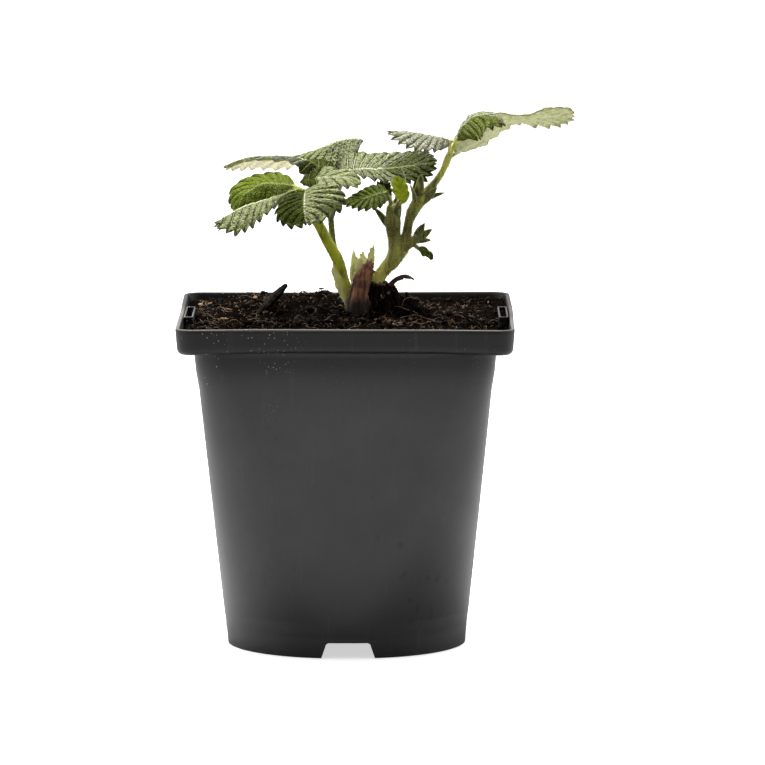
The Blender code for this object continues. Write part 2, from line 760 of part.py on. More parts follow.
YOUNG_LEAFLETS = {
    "young_leaflet_left": {
        "path": [(16.3, -4.5, 177), (11.5, -6, 175.8), (6, -8, 174.4), (-0.5, -10, 173)],
        "face": [(0, -0.75, 0.7), (0, -0.75, 0.7), (-0.1, -0.75, 0.7)],
        "width": (5.2, 4.2),
        "fold": ((-8, -8, 0), (0, 0, 0)),
        "curl": ((-10, -10, -10), (10, 0, 0)),
        "teeth": 7,
        "bite": 1.2,
        "shape": ((0.4, 0.7), (0.35, 1.0)),
    },
    "young_leaflet_bright": {
        "path": [(22.4, -7, 172.5), (22, -8.5, 175.5), (20.6, -9.5, 179.5), (19.7, -9, 182.6)],
        "face": [(-0.1, -1, 0.1), (0, -1, 0.1), (0, -1, 0.2)],
        "width": (2.7, 2.7),
        "fold": ((8, 8, 8), (8, 8, 8)),
        "curl": ((10, 10, 0), (10, 10, 0)),
        "teeth": 4,
        "bite": 0.8,
        "shape": (0.7, 0.6),
    },
    "young_leaflet_dark": {
        "path": [(17.2, -1, 174), (16.2, -0.2, 176), (15, 0.8, 178.2), (15.6, 1.4, 180.4)],
        "face": [(-0.2, -1, 0.2), (-0.1, -1, 0.2), (0, -1, 0.1)],
        "width": (2.8, 2.2),
        "fold": ((-10, -10, -5), (20, 20, 10)),
        "curl": ((-10, -10, 0), (10, 10, 0)),
        "teeth": 5,
        "bite": 0.9,
        "shape": (0.7, 0.6),
    },
    "pendant_leaflet": {
        "path": [(27.5, -3.5, 155), (29.7, -5, 154.3), (31.8, -6, 152.7), (33.6, -7, 150.7)],
        "face": [(0.3, -0.8, 0.5), (0.3, -0.8, 0.5), (0.4, -0.8, 0.5)],
        "width": (1.6, 1.8),
        "fold": ((0, 0, 0), (0, 0, 0)),
        "curl": ((-15, -15, -15), (-15, -15, -15)),
        "teeth": 2,
        "bite": 0.3,
        "shape": (0.7, 0.6),
    },
}

# Stems: paths from the lower end up, with radii spread evenly along them.
FRONT_PETIOLE = [
    (2, -4, 121),
    (1, -4, 128),
    (0.4, -4, 134.5),
    (-0.5, -5, 142.5),
    (-3.1, -5.7, 150),
    (-7.2, -6.4, 157.5),
    (-11.2, -8, 165.5),
    (-18.5, -9, 178),
]
FRONT_RADII = (1.0, 0.9, 1.45, 2.2, 2.05, 1.95, 1.5)
FRONT_JOINT = (-18.5, -9, 178)
BACK_PETIOLE = [
    (6, 8, 121),
    (4.5, 7, 129),
    (1.2, 6.5, 137),
    (-1.0, 7, 143),
    (-3.2, 7, 149),
    (-5.2, 8, 156),
    (-6.6, 8, 170.5),
    (-8.5, 7, 180),
]
BACK_RADII = (1.2, 1.5, 1.4, 1.2, 1.2, 1.1)
BACK_JOINT = (-8.5, 7, 180)
STALK = [(12.5, 0, 135.5), (12.5, 0, 142), (15.6, 0, 146.6), (18.4, -1, 149.9), (20.4, -1, 154)]
STALK_RADII = (2.6, 2.7, 2.4, 2.9, 3.7)
LEFT_FORK = [(19.8, -1, 153), (18.6, -2, 159.5), (18.2, -3, 165), (17.8, -3, 170.5)]
LEFT_RADII = (3.2, 2.5, 3.0, 2.2)
RIGHT_FORK = [(21.5, -1, 153.5), (23.6, -1, 160), (24.6, -1, 165.4), (26.4, -1, 169.5), (29, -1, 174)]
RIGHT_RADII = (2.8, 1.9, 1.7, 2.3, 2.6)
UPPER_PETIOLE = [(28.5, -1, 172.5), (32.2, -1, 177), (36, -1, 182), (38.3, -1, 186), (39.8, -1, 190)]
UPPER_RADII = (2.4, 2.0, 1.35, 1.2, 1.4)
UPPER_JOINT = (39.8, -1, 190)
SIDE_STEM = [(22.5, -1.5, 155.0), (25, -2.5, 156.5), (27.5, -3, 158.5)]
SIDE_RADII = (2.4, 1.7, 1.5)
LEAFLET_STALK_RADII = (0.95, 0.8, 0.75)


def bract(base, tip, half_width, look, bow, thick=0.7, shape=(0.45, 0.75)):
    """A small pointed leaf without teeth, bowed away from the straight line between its ends."""
    start, end = np.array(base, float), np.array(tip, float)
    middle = (start + end) / 2 + bow * unit(np.array(look, float))
    return {
        "path": [start, middle, end],
        "face": [look, look],
        "width": (half_width, half_width),
        "fold": ((0, 0), (0, 0)),
        "curl": ((-35, -35), (-35, -35)),
        "pleat": 0.0,
        "columns": 2,
        "shape": shape,
        "thick": thick,
    }


TOP_BRACTS = [
    bract((27.3, -2.2, 171), (29.3, -5.8, 184), 2.0, (-0.2, -1, 0.1), -0.6),
    bract((26.5, -1.5, 171), (25, -5.5, 179.5), 1.8, (-0.9, -0.6, 0.2), -0.6),
    bract((29.5, -2.5, 172), (35.8, -4.2, 182.5), 1.6, (0.2, -1, -0.2), -0.5),
    bract((29.5, -2.5, 172), (35.3, -5.2, 178.5), 1.5, (0.2, -1, 0.4), -0.4),
    bract((29.5, -1.5, 173), (38.2, -3.2, 176.3), 1.2, (0.2, -0.8, 0.7), 0.8),
    bract((27.5, 0.5, 171), (27.5, 2.5, 182), 1.9, (0, 1, 0.1), -0.6),
]
SIDE_BRACTS = [
    bract((26.5, -3, 157.5), (30.5, -4, 164.5), 1.7, (-0.6, -0.8, 0.3), -0.3),
    bract((26.8, -3, 157.8), (33.3, -5, 162.2), 1.7, (-0.2, -1, 0.5), -0.3),
    bract((27, -3, 157.5), (33, -5.2, 158), 1.3, (0, -0.8, 0.7), 0.2),
    bract((26.8, -2.5, 157.5), (29.5, 0.5, 163.5), 1.5, (0.2, 1, 0.2), -0.3),
]
YOUNG_BRACTS = [
    bract((16, -3, 163), (11, -4.8, 170.6), 1.7, (-0.6, -0.8, -0.2), -0.4),
    bract((19.5, -4.5, 165), (20.8, -6.5, 174), 1.8, (0.3, -1, 0.1), -0.4),
    bract((18.5, -0.5, 165), (19.5, 1.5, 174), 2.0, (0, 1, 0.1), -0.4),
]
BUD_CORE = [(5.4, 2.2, 121), (5.4, 2.2, 130), (5.4, 2, 138), (5.8, 2, 147)]
BUD_CORE_RADII = (1.4, 2.1, 2.6, 2.4)
BUD_SHAPE = (0.3, 0.5)
BUD_SHEATHS = [
    bract((4.6, 1.6, 132), (3.0, 0.5, 153), 2.8, (-0.7, -0.8, 0), 1.0, 0.8, BUD_SHAPE),
    bract((5.8, 3.4, 133), (6.5, 3.4, 152.5), 2.6, (0.1, 1, 0), 0.6, 0.8, BUD_SHAPE),
    bract((6.2, 0.4, 133), (10.6, -1.8, 155.5), 2.0, (0.4, -0.9, 0), 0.9, 0.8, BUD_SHAPE),
]
BROWN_SHEATH = {
    "path": [(5, -8.6, 121), (4.4, -9.4, 129), (4.6, -9.3, 135), (6.2, -8, 142), (10, -5.6, 150.5)],
    "face": [(-0.1, -1, 0), (-0.1, -1, 0.1), (-0.2, -1, 0.4)],
    "width": (4.9, 4.9),
    "fold": ((0, 0), (0, 0)),
    "curl": ((-42, -42, -30), (-42, -42, -30)),
    "pleat": 0.0,
    "shape": (0.2, 0.5),
    "thick": 0.8,
}
DRIED_BRACT = {
    "path": [
        (15.5, -2, 138.5),
        (18, -2.2, 141.5),
        (20.5, -2.6, 143.3),
        (23.5, -3.2, 143.8),
        (26.5, -4, 142.5),
    ],
    "face": [(-0.6, -0.6, 0.6), (-0.3, -0.5, 0.9), (0.2, -0.4, 1)],
    "width": (1.5, 1.7),
    "fold": ((0, 0), (0, 0)),
    "curl": ((-40, -40), (-40, -40)),
    "pleat": 0.0,
    "columns": 2,
    "shape": (0.35, 0.5),
}
STIPULE_WING = {
    "path": [(0.2, -4.5, 132.5), (-1.5, -4.5, 138), (-3.3, -4.3, 143), (-4.9, -4.2, 149.8)],
    "face": [(-0.3, -1, 0), (-0.3, -1, 0), (-0.3, -1, 0)],
    "width": (2.0, 2.2),
    "fold": ((0, 0), (0, 0)),
    "curl": ((-10, -10), (-10, -10)),
    "pleat": 0.0,
    "columns": 2,
    "shape": (0.6, 0.6),
    "thick": 0.9,
}


def leaflet_stalks(name, joint, leaflets, radii=LEAFLET_STALK_RADII):
    """The little stalks from a leaf's joint to its leaflets, each ending a gap short of the blade."""
    stalks = []
    for leaflet, spec in leaflets.items():
        base, following = np.array(spec["path"][0], float), np.array(spec["path"][1], float)
        ahead = unit(following - base)
        end = base + ahead * (BLADE_START - GAP - CAP_LENGTH * radii[-1])
        end = np.array(spec.get("stalk_end", end), float)
        middle = (np.array(joint) + end) / 2 + np.array(spec.get("stalk_bow", (0, 0, 0)))
        middle = middle - 0.06 * np.linalg.norm(end - joint) * ahead
        stalks.append(make_object(f"{name}_{leaflet}", *tube([joint, middle, end], radii, 6, 4)))
    return stalks


def make_front_petiole(material, parent, grow=0.0):
    name = "front_petiole" if not grow else "front_petiole_seat"
    petiole = make_object(name, *tube(FRONT_PETIOLE, FRONT_RADII, 10, 14, grow))
    if grow:
        return make_cutter(petiole, parent)
    wing = make_blade("wing", STIPULE_WING)
    fuse(petiole, [wing, *leaflet_stalks("front_stalk", FRONT_JOINT, FRONT_LEAFLETS)], "MANIFOLD")
    return finish_node(petiole, material, parent)


def make_back_petiole(material, parent, grow=0.0):
    name = "back_petiole" if not grow else "back_petiole_seat"
    petiole = make_object(name, *tube(BACK_PETIOLE, BACK_RADII, 8, 14, grow))
    if grow:
        return make_cutter(petiole, parent)
    fuse(petiole, leaflet_stalks("back_stalk", BACK_JOINT, BACK_LEAFLETS), "MANIFOLD")
    return finish_node(petiole, material, parent)


def make_right_stalk(material, parent):
    """The hairy main stalk with its forks, the upper leaf's petiole and the bracts that grow from it."""
    stalk = make_object("right_stalk", *tube(STALK, STALK_RADII, 9, 8))
    pieces = [
        make_object("left_fork", *tube(LEFT_FORK, LEFT_RADII, 9, 6)),
        make_object("right_fork", *tube(RIGHT_FORK, RIGHT_RADII, 9, 7)),
        make_object("upper_petiole", *tube(UPPER_PETIOLE, UPPER_RADII, 8, 7)),
        make_object("side_stem", *tube(SIDE_STEM, SIDE_RADII, 8, 4)),
    ]
    for number, spec in enumerate([*TOP_BRACTS, *SIDE_BRACTS, *YOUNG_BRACTS]):
        pieces.append(make_blade(f"bract_{number}", spec))
    young = dict(YOUNG_LEAFLETS)
    pendant = {"pendant_leaflet": young.pop("pendant_leaflet")}
    pieces += leaflet_stalks("upper_stalk", UPPER_JOINT, UPPER_LEAFLETS)
    pieces += leaflet_stalks("young_stalk", LEFT_FORK[-1], young)
    pieces += leaflet_stalks("pendant_stalk", SIDE_STEM[1], pendant)
    fuse(stalk, pieces, "MANIFOLD")
    return finish_node(stalk, material, parent)


def lumpy_column(centres, radii, sides, seed, wobble):
    """A gnarled upright body: rings whose radius wanders round the axis."""
    draw = np.random.default_rng(seed)
    rings = []
    for centre, radius in zip(centres, radii):
        ring = []
        for k in range(sides):
            turn = 2 * math.pi * k / sides
            wide = radius * (1 + wobble * draw.uniform(-1, 1))
            ring.append((centre[0] + wide * math.cos(turn), centre[1] + wide * math.sin(turn), centre[2]))
        rings.append(ring)
    return np.array([point for ring in rings for point in ring]), bridge(rings)


# The crown's rings: how far each is shifted from the crown's foot, its radius and its height.
CROWN_RINGS = (
    (0, 3.5, 116),
    (0.5, 5.2, 122),
    (1.5, 6.6, 128),
    (1.5, 6.0, 133),
    (0.7, 5.0, 137.5),
    (0.2, 4.2, 140),
)


def make_crown(material, parent, grow=0.0):
    name = "crown" if not grow else "crown_seat"
    centres = [(CROWN_X + shift, 0, z) for shift, _, z in CROWN_RINGS]
    radii = [radius + grow for _, radius, _ in CROWN_RINGS]
    crown = make_object(name, *lumpy_column(centres, radii, 16, 11, 0.06))
    if grow:
        return make_cutter(crown, parent)
    cut(crown, make_cutter(make_object("stalk_seat", *tube(STALK, STALK_RADII, 9, 8, GAP)), parent))
    cut(crown, make_cutter(make_blade("dried_bract_seat", DRIED_BRACT, GAP), parent))
    return finish_node(crown, material, parent)


def make_bud_sheaths(material, parent, grow=0.0):
    """Three pale sheaths of new leaves, joined at their foot."""
    name = "bud_sheaths" if not grow else "bud_sheaths_seat"
    core = make_object(name, *tube(BUD_CORE, BUD_CORE_RADII, 10, 10, grow))
    if grow:
        return make_cutter(core, parent)
    blades = [make_blade(f"bud_{number}", spec) for number, spec in enumerate(BUD_SHEATHS)]
    fuse(core, blades, "MANIFOLD")
    return finish_node(core, material, parent)


def shard(centre, size, turn, tilt, seed):
    """A bark or wood chip: a bent six-sided sliver with uneven ends. Size is length, width, thickness."""
    draw = np.random.default_rng(seed)
    rings = []
    for end in (-1.0, -0.35, 0.4, 1.0):
        narrow = 1.0 - 0.55 * abs(end) ** 2
        ring = []
        for across, up in ((-1, -0.5), (0, -1), (1, -0.4), (0.8, 0.6), (0, 1), (-0.9, 0.5)):
            wide = narrow * (1 + 0.15 * draw.uniform(-1, 1))
            ring.append((end * size[0] / 2, across * wide * size[1] / 2, up * narrow * size[2] / 2))
        rings.append(ring)
    points = np.array([point for ring in rings for point in ring])
    cos_tilt, sin_tilt = math.cos(tilt), math.sin(tilt)
    cos_turn, sin_turn = math.cos(turn), math.sin(turn)
    x = points[:, 0] * cos_tilt - points[:, 2] * sin_tilt
    z = points[:, 0] * sin_tilt + points[:, 2] * cos_tilt
    turned = np.stack([x * cos_turn - points[:, 1] * sin_turn, x * sin_turn + points[:, 1] * cos_turn, z], 1)
    return turned + np.array(centre), bridge(rings)


# Chips on the soil: name, place, how far the middle stands above the soil, size, turn and tilt in degrees.
CHIPS = [
    ("bark_splinter", (-30.0, 20.0), 4.0, (18.0, 4.2, 2.0), 22, 44, "bark"),
    ("pale_chip_left", (-56.5, 50.0), -0.4, (8.5, 3.4, 1.4), 8, 4, "wood"),
    ("pale_chip_middle", (-37.0, 42.0), 0.9, (4.5, 2.4, 1.2), 70, 35, "wood"),
    ("pale_chip_front", (-48.0, -2.0), 1.1, (4.0, 2.0, 1.2), -20, 5, "wood"),
    ("tan_chip_crown", (15.5, -13.0), 0.6, (6.5, 3.0, 1.5), 30, -12, "tan"),
    ("tan_chip_right", (31.5, -15.5), -0.1, (5.5, 2.6, 1.3), -25, 8, "tan"),
    ("bark_chip_right", (44.0, 8.0), -1.4, (7.0, 3.0, 1.4), 40, 6, "bark"),
    ("bark_chip_back", (24.0, 30.0), 0.7, (6.0, 2.6, 1.4), -60, 15, "bark"),
]


def make_chips(materials, soil, parent):
    for seed, (name, (x, y), lift, size, turn, tilt, kind) in enumerate(CHIPS):
        centre = (x, y, float(soil_height(x, y)) + lift)
        angles = math.radians(turn), math.radians(tilt)
        chip = make_object(name, *shard(centre, size, *angles, seed), smooth_angle=20.0)
        finish_node(chip, materials[kind], parent)
        pocket_size = [length + 2.4 * GAP for length in size]
        pocket = make_object(f"{name}_pocket", *shard(centre, pocket_size, *angles, seed))
        cut(soil, make_cutter(pocket, parent))


def make_soil(material, parent):
    soil = make_object("soil", *soil_shell(), smooth_angle=60.0)
    for side in (-1, 1):
        across, half_length, height = lug_ranges(side, GAP)
        beyond = (across[0], side * RIM_HALF)
        seat = tapered_block(beyond, half_length, (height[0], POT_HEIGHT + 2), 0.0)
        cut(soil, make_cutter(make_object(f"lug_seat_{side}", *seat), parent))
    cut(soil, make_crown(None, parent, GAP))
    cut(soil, make_front_petiole(None, parent, GAP))
    cut(soil, make_back_petiole(None, parent, GAP))
    cut(soil, make_bud_sheaths(None, parent, GAP))
    cut(soil, make_cutter(make_blade("brown_sheath_seat", BROWN_SHEATH, GAP), parent))
    return finish_node(soil, material, parent)


def main():
    clear_scene()
    root = bpy.data.objects.new("plant_and_pot", None)
    bpy.context.scene.collection.objects.link(root)
    root.location.x = POT_X * MM

    materials = {
        "pot": make_material("black_plastic", (0.042, 0.04, 0.042), 0.5),
        "soil": make_material("compost", (0.022, 0.013, 0.009), 0.95),
        "crown": make_material("woody_crown", (0.03, 0.014, 0.01), 0.9),
        "sheath": make_material("dry_sheath", (0.09, 0.028, 0.018), 0.75),
        "bud": make_material("bud_sheath", (0.55, 0.6, 0.22), 0.5),
        "petiole": make_material("petiole", (0.19, 0.23, 0.025), 0.45),
        "stalk": make_material("hairy_stalk", (0.13, 0.17, 0.05), 0.6),
        "leaf": make_material("leaf", (0.09, 0.17, 0.035), 0.55),
        "young": make_material("young_leaf", (0.1, 0.25, 0.03), 0.5),
        "bark": make_material("bark", (0.05, 0.024, 0.014), 0.9),
        "wood": make_material("pale_wood", (0.32, 0.2, 0.12), 0.85),
        "tan": make_material("tan_wood", (0.28, 0.11, 0.045), 0.85),
    }

    make_pot(materials["pot"], root)
    soil = make_soil(materials["soil"], root)
    make_chips(materials, soil, root)
    make_crown(materials["crown"], root)
    finish_node(make_blade("brown_sheath", BROWN_SHEATH), materials["sheath"], root)
    finish_node(make_blade("dried_bract", DRIED_BRACT), materials["sheath"], root)
    make_front_petiole(materials["petiole"], root)
    make_back_petiole(materials["stalk"], root)
    make_right_stalk(materials["stalk"], root)
    make_bud_sheaths(materials["bud"], root)
    for leaflets in (FRONT_LEAFLETS, BACK_LEAFLETS, UPPER_LEAFLETS):
        for name, spec in leaflets.items():
            finish_node(make_blade(name, spec), materials["leaf"], root)
    for name, spec in YOUNG_LEAFLETS.items():
        finish_node(make_blade(name, spec), materials["young"], root)


main()
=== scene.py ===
"""Potted strawberry plant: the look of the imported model.

Lengths are millimetres in the pot's own frame, as in the model's source: the pot's axis is the line
x = 0, y = 0, Z is up and the plant is seen from -Y. In the world that axis stands at POT_X.
"""

import math

import bmesh
import bpy
import numpy as np
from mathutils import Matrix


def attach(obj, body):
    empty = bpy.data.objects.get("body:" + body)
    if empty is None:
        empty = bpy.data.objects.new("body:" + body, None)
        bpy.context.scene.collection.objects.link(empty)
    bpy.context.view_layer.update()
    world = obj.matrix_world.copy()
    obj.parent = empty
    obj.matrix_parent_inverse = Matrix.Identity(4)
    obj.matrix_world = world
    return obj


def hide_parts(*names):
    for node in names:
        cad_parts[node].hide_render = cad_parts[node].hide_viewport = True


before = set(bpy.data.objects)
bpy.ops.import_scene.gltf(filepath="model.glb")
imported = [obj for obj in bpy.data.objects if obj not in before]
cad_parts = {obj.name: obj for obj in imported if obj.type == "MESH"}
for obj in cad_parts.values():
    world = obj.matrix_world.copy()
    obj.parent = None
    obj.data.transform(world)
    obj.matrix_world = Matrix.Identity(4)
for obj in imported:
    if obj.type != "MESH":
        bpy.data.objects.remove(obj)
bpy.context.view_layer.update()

MM = 0.001
POT_X = -12.0
BODY = "root"
NOISE_TABLE = 64
# Stems end in caps: turns of their rings from the stem's side, and length as a share of the radius.
CAP_TURNS = (30, 60, 82)
CAP_LENGTH = 0.6

# The pot.
POT_HEIGHT = 130.0
RIM_HALF = 65.0
RIM_CORNER = 8.0
BAND_HEIGHT = 9.5
BAND_FOOT = POT_HEIGHT - BAND_HEIGHT
BAND_DRAFT = 0.8
BAND_WALL = 1.5
LEDGE_RISE = 1.3
BODY_WALL = 1.2
BODY_TOP_HALF = 58.1
BODY_SHOULDER_HALF = 56.3
SHOULDER_HEIGHT = 104.0
BODY_FOOT_HALF = 48.1
FOOT_HALF = 46.9
FOOT_WALL = 1.6
FOOT_TOP = 7.7
STEP_TOP = 13.6
FLOOR_UNDER = 6.2
FLOOR_TOP = 7.6
ROUNDNESS = 0.93
NOTCH_WIDE = 20.8
NOTCH_NARROW = 17.6
NOTCH_HEIGHT = 6.0
NOTCH_TURN = 1.1
LUG_LENGTH = 36.0
LUG_DEPTH = 4.2
LUG_BELOW_RIM = 0.6
LUG_INTO_WALL = 0.6
LUG_OVER_LEDGE = 0.7
LUG_DRAFT = 0.25
LUG_EDGE = 0.35
POCKET_DEPTH = 4.0
POCKET_SIDES = (0.9, 1.1)
HOLE_RADIUS = 4.0
HOLE_RING = 34.0
HOLES = 8
SHARP_EDGE = 35


# The soil.
SOIL_FRONT = 124.8
SOIL_BACK = 127.0
SOIL_RINGS = 118
GAP = 0.3
CROWN_X = 13.5
CROWN_CLEAR = 6.0
STRANDS_ON_CROWN = 60
CLODS_ON_CROWN = 150
# The collar of dry skin around the stalk's foot.
COLLAR_X = 12.4
COLLAR_HEIGHT = 140.2
COLLAR_RADIUS = 3.3

# The leaves.
BLADE = 0.42
RIM_BLADE = 0.26
RIB = 0.5
TOOTH_TIP = 0.68
ROW_PLACES = (0.0, 0.1, 0.22, 0.36, 0.52, 0.68, 0.79, 0.9)
BASE_ROWS = 11
FIRST_TOOTH = 0.30
LAST_TOOTH = 0.97
RIB_LEAN = 0.36
LEAF_SHAPE = (1.1, 0.48)
LEAF_COLUMNS = 18
BRACT_COLUMNS = 8
PATH_SAMPLES = 121
CURL_STEPS = 16
PLEAT = 0.4
VEIN = 0.22
VEIN_WIDTH = 0.3
RIB_WIDTH = 0.55
RIM_FROM = 0.85
# The tooth count of a blade without teeth.
NO_TEETH = -9.0
# Unevenness of a leaf: height, size and seed step.
LEAF_RELIEF = ((0.22, 2.4, 5), (0.2, 1.25, 7))
# Added to a tooth count so that it stays positive.
WHOLE_TEETH = 16

WHITE = (1.0, 1.0, 1.0, 1.0)
# The set in metres, but for the camera's side place in millimetres of the pot's frame.
FLOOR_HALF = 3.0
FLOOR_DROP = 0.0002
LAMP_PLACE = (-0.12, 0.2, 1.25)
LAMP_TARGET = (0.0, 0.0, 0.15)
LAMP_SIZE = (0.5, 0.4)
LAMP_WATTS = 32.0
CAMERA_X = 14.158
CAMERA_Y = -2.35
CAMERA_Z = 0.3979
CAMERA_TILT = 7.19
FOCAL_PIXELS = 6052.0
PICTURE_PIXELS = 765
SENSOR = 36.0


# Meshes

def build(name, points, faces, materials, slots=None, vectors=None, smooth=True):
    """A mesh from points in millimetres of the pot's frame, with materials and vector attributes."""
    points = np.asarray(points, float)
    mesh = bpy.data.meshes.new(name)
    world = (points + np.array([POT_X, 0, 0])) * MM
    mesh.from_pydata(world.tolist(), [], [tuple(map(int, face)) for face in faces])
    for material in materials:
        mesh.materials.append(material)
    if slots is not None:
        mesh.polygons.foreach_set("material_index", np.asarray(slots, np.int32))
    for attribute, values in (vectors or {}).items():
        layer = mesh.attributes.new(attribute, "FLOAT_VECTOR", "POINT")
        layer.data.foreach_set("vector", np.asarray(values, np.float32).ravel())
    mesh.validate()
    if smooth:
        mesh.shade_smooth()
    obj = bpy.data.objects.new(name, mesh)
    bpy.context.scene.collection.objects.link(obj)
    return obj


def keep(obj, slot, *nodes):
    """Makes an object a piece of the part that stands for the given nodes."""
    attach(obj, BODY)
    if nodes:
        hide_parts(*nodes)
    return obj


def turn_outward(obj):
    work = bmesh.new()
    work.from_mesh(obj.data)
    bmesh.ops.recalc_face_normals(work, faces=work.faces)
    work.to_mesh(obj.data)
    work.free()


def baked(obj):
    """Puts an object's modifiers into its mesh."""
    bpy.context.view_layer.update()
    seen = obj.evaluated_get(bpy.context.evaluated_depsgraph_get())
    mesh = bpy.data.meshes.new_from_object(seen)
    obj.modifiers.clear()
    obj.data = mesh
    return obj


def grown_together(obj, voxel, rounds):
    """Runs overlapping stems into one skin with soft forks."""
    skin = obj.modifiers.new("skin", "REMESH")
    skin.mode = "VOXEL"
    skin.voxel_size = voxel * MM
    skin.use_smooth_shade = True
    soft = obj.modifiers.new("soft", "SMOOTH")
    soft.factor = 0.5
    soft.iterations = rounds
    return baked(obj)


def joined(parts):
    """Points and faces of several meshes as one."""
    points, faces, start = [], [], 0
    for some_points, some_faces in parts:
        points.append(np.asarray(some_points, float))
        faces += [tuple(int(k) + start for k in face) for face in some_faces]
        start += len(some_points)
    return np.vstack(points), faces


def unit(vectors):
    return vectors / np.maximum(np.linalg.norm(vectors, axis=-1, keepdims=True), 1e-12)


def read_path(path, run, places):
    """The points or directions of a path at the given places of its run."""
    return np.stack([np.interp(places, run, path[:, axis]) for axis in range(3)], axis=1)


def smooth_path(points, count):
    """Evenly spaced points on a Catmull-Rom curve through the given ones."""
    given = np.array(points, float)
    knots = np.vstack([2 * given[0] - given[1], given, 2 * given[-1] - given[-2]])
    t = np.linspace(0, 1, 24, endpoint=False)[:, None]
    pieces = []
    for a, b, c, d in zip(knots, knots[1:], knots[2:], knots[3:]):
        cubic = (3 * b - a - 3 * c + d) * t**3
        pieces.append(0.5 * (2 * b + (c - a) * t + (2 * a - 5 * b + 4 * c - d) * t**2 + cubic))
    dense = np.vstack([*pieces, given[-1:]])
    run = np.concatenate([[0], np.cumsum(np.linalg.norm(np.diff(dense, axis=0), axis=1))])
    return read_path(dense, run, np.linspace(0, run[-1], count))


def along(values, place):
    """Values spread evenly from base to tip, read at a place from 0 to 1 with smooth passages."""
    known = np.array(values, float)
    if len(known) == 1:
        return np.full(np.shape(place), known[0])
    x = np.clip(place, 0, 1) * (len(known) - 1)
    low = np.minimum(x.astype(int), len(known) - 2)
    share = x - low
    share = share * share * (3 - 2 * share)
    return known[low] * (1 - share) + known[low + 1] * share


def value_noise(x, y, cell, seed):
    """Smooth seeded noise in -1..1 over the plane."""
    table = np.random.default_rng(seed).uniform(-1, 1, (NOISE_TABLE, NOISE_TABLE))

    def cells(values):
        shifted = np.asarray(values, float) / cell + NOISE_TABLE / 2
        low = np.floor(shifted).astype(int)
        part = shifted - low
        return low % NOISE_TABLE, (low + 1) % NOISE_TABLE, part**2 * (3 - 2 * part)

    left, right, across = cells(x)
    front, back, deep = cells(y)
    near = table[left, front] * (1 - across) + table[right, front] * across
    far = table[left, back] * (1 - across) + table[right, back] * across
    return near * (1 - deep) + far * deep


def turns_of(sides):
    return 2 * math.pi * np.arange(sides) / sides


def bridge(rings):
    """Faces between rings of equal length, and a flat face over each open end."""
    count = len(rings[0])
    faces = []
    for row in range(len(rings) - 1):
        for k in range(count):
            after = (k + 1) % count
            low, high = row * count, (row + 1) * count
            faces.append((low + k, low + after, high + after, high + k))
    faces.append(tuple(range(count))[::-1])
    faces.append(tuple(range((len(rings) - 1) * count, len(rings) * count)))
    return faces


def tube(points, radii, sides=14, count=40, wobble=0.0, seed=0):
    """A stem: rings along a smooth path, with radii spread along it and rounded ends."""
    path = smooth_path(points, count)
    tangent = unit(np.gradient(path, axis=0))
    radius = along(radii, np.linspace(0, 1, count))
    side = unit(np.cross(tangent[0], (0.3, 1.0, 0.2)))
    turns = turns_of(sides)
    rings = []
    for row, (centre, ahead, wide) in enumerate(zip(path, tangent, radius)):
        side = unit(side - ahead * np.dot(side, ahead))
        other = np.cross(ahead, side)
        lumps = 1 + wobble * value_noise(turns * 2.2, row * 0.35, 1.0, seed)
        ring = centre + (wide * lumps)[:, None] * (
            np.cos(turns)[:, None] * side + np.sin(turns)[:, None] * other
        )
        rings.append(ring)
    for index, sign in ((0, -1), (-1, 1)):
        centre, wide, ahead, ring = path[index], radius[index], tangent[index], rings[index]
        for turn in np.radians(CAP_TURNS):
            reach = sign * CAP_LENGTH * wide * math.sin(turn)
            cap = centre + reach * ahead + math.cos(turn) * (ring - centre)
            rings.insert(0 if index == 0 else len(rings), cap)
    return np.vstack(rings), bridge(rings)


def spikes(roots, directions, lengths, widths):
    """Hairs: one thin closed spike of four faces at each root."""
    roots, directions = np.asarray(roots, float), unit(np.asarray(directions, float))
    side = unit(np.cross(directions, np.array([0.31, 0.52, 0.8])))
    other = np.cross(directions, side)
    count = len(roots)
    points = np.zeros((count, 4, 3))
    for k in range(3):
        a = 2 * math.pi * k / 3
        points[:, k] = roots + widths[:, None] * (math.cos(a) * side + math.sin(a) * other)
    points[:, 3] = roots + directions * lengths[:, None]
    pattern = np.array([(0, 2, 1), (0, 1, 3), (1, 2, 3), (2, 0, 3)])
    faces = (pattern[None] + 4 * np.arange(count)[:, None, None]).reshape(-1, 3)
    return points.reshape(-1, 3), faces


def surface_draws(obj, count, seed, above):
    """Seeded random places on a mesh above a height, in millimetres of the pot's frame, with their
    outward directions."""
    mesh = obj.data
    mesh.calc_loop_triangles()
    vertices = np.zeros(len(mesh.vertices) * 3)
    mesh.vertices.foreach_get("co", vertices)
    vertices = vertices.reshape(-1, 3) / MM - np.array([POT_X, 0, 0])
    corners = np.zeros(len(mesh.loop_triangles) * 3, np.int32)
    mesh.loop_triangles.foreach_get("vertices", corners)
    a, b, c = (vertices[corners.reshape(-1, 3)[:, k]] for k in range(3))
    cross = np.cross(b - a, c - a)
    weight = np.linalg.norm(cross, axis=1) * ((a + b + c)[:, 2] / 3 > above)
    draw = np.random.default_rng(seed)
    picks = draw.choice(len(weight), count, p=weight / weight.sum())
    u, v = draw.uniform(0, 1, count), draw.uniform(0, 1, count)
    flip = u + v > 1
    u[flip], v[flip] = 1 - u[flip], 1 - v[flip]
    spots = a[picks] + u[:, None] * (b - a)[picks] + v[:, None] * (c - a)[picks]
    return spots, unit(cross[picks]), draw


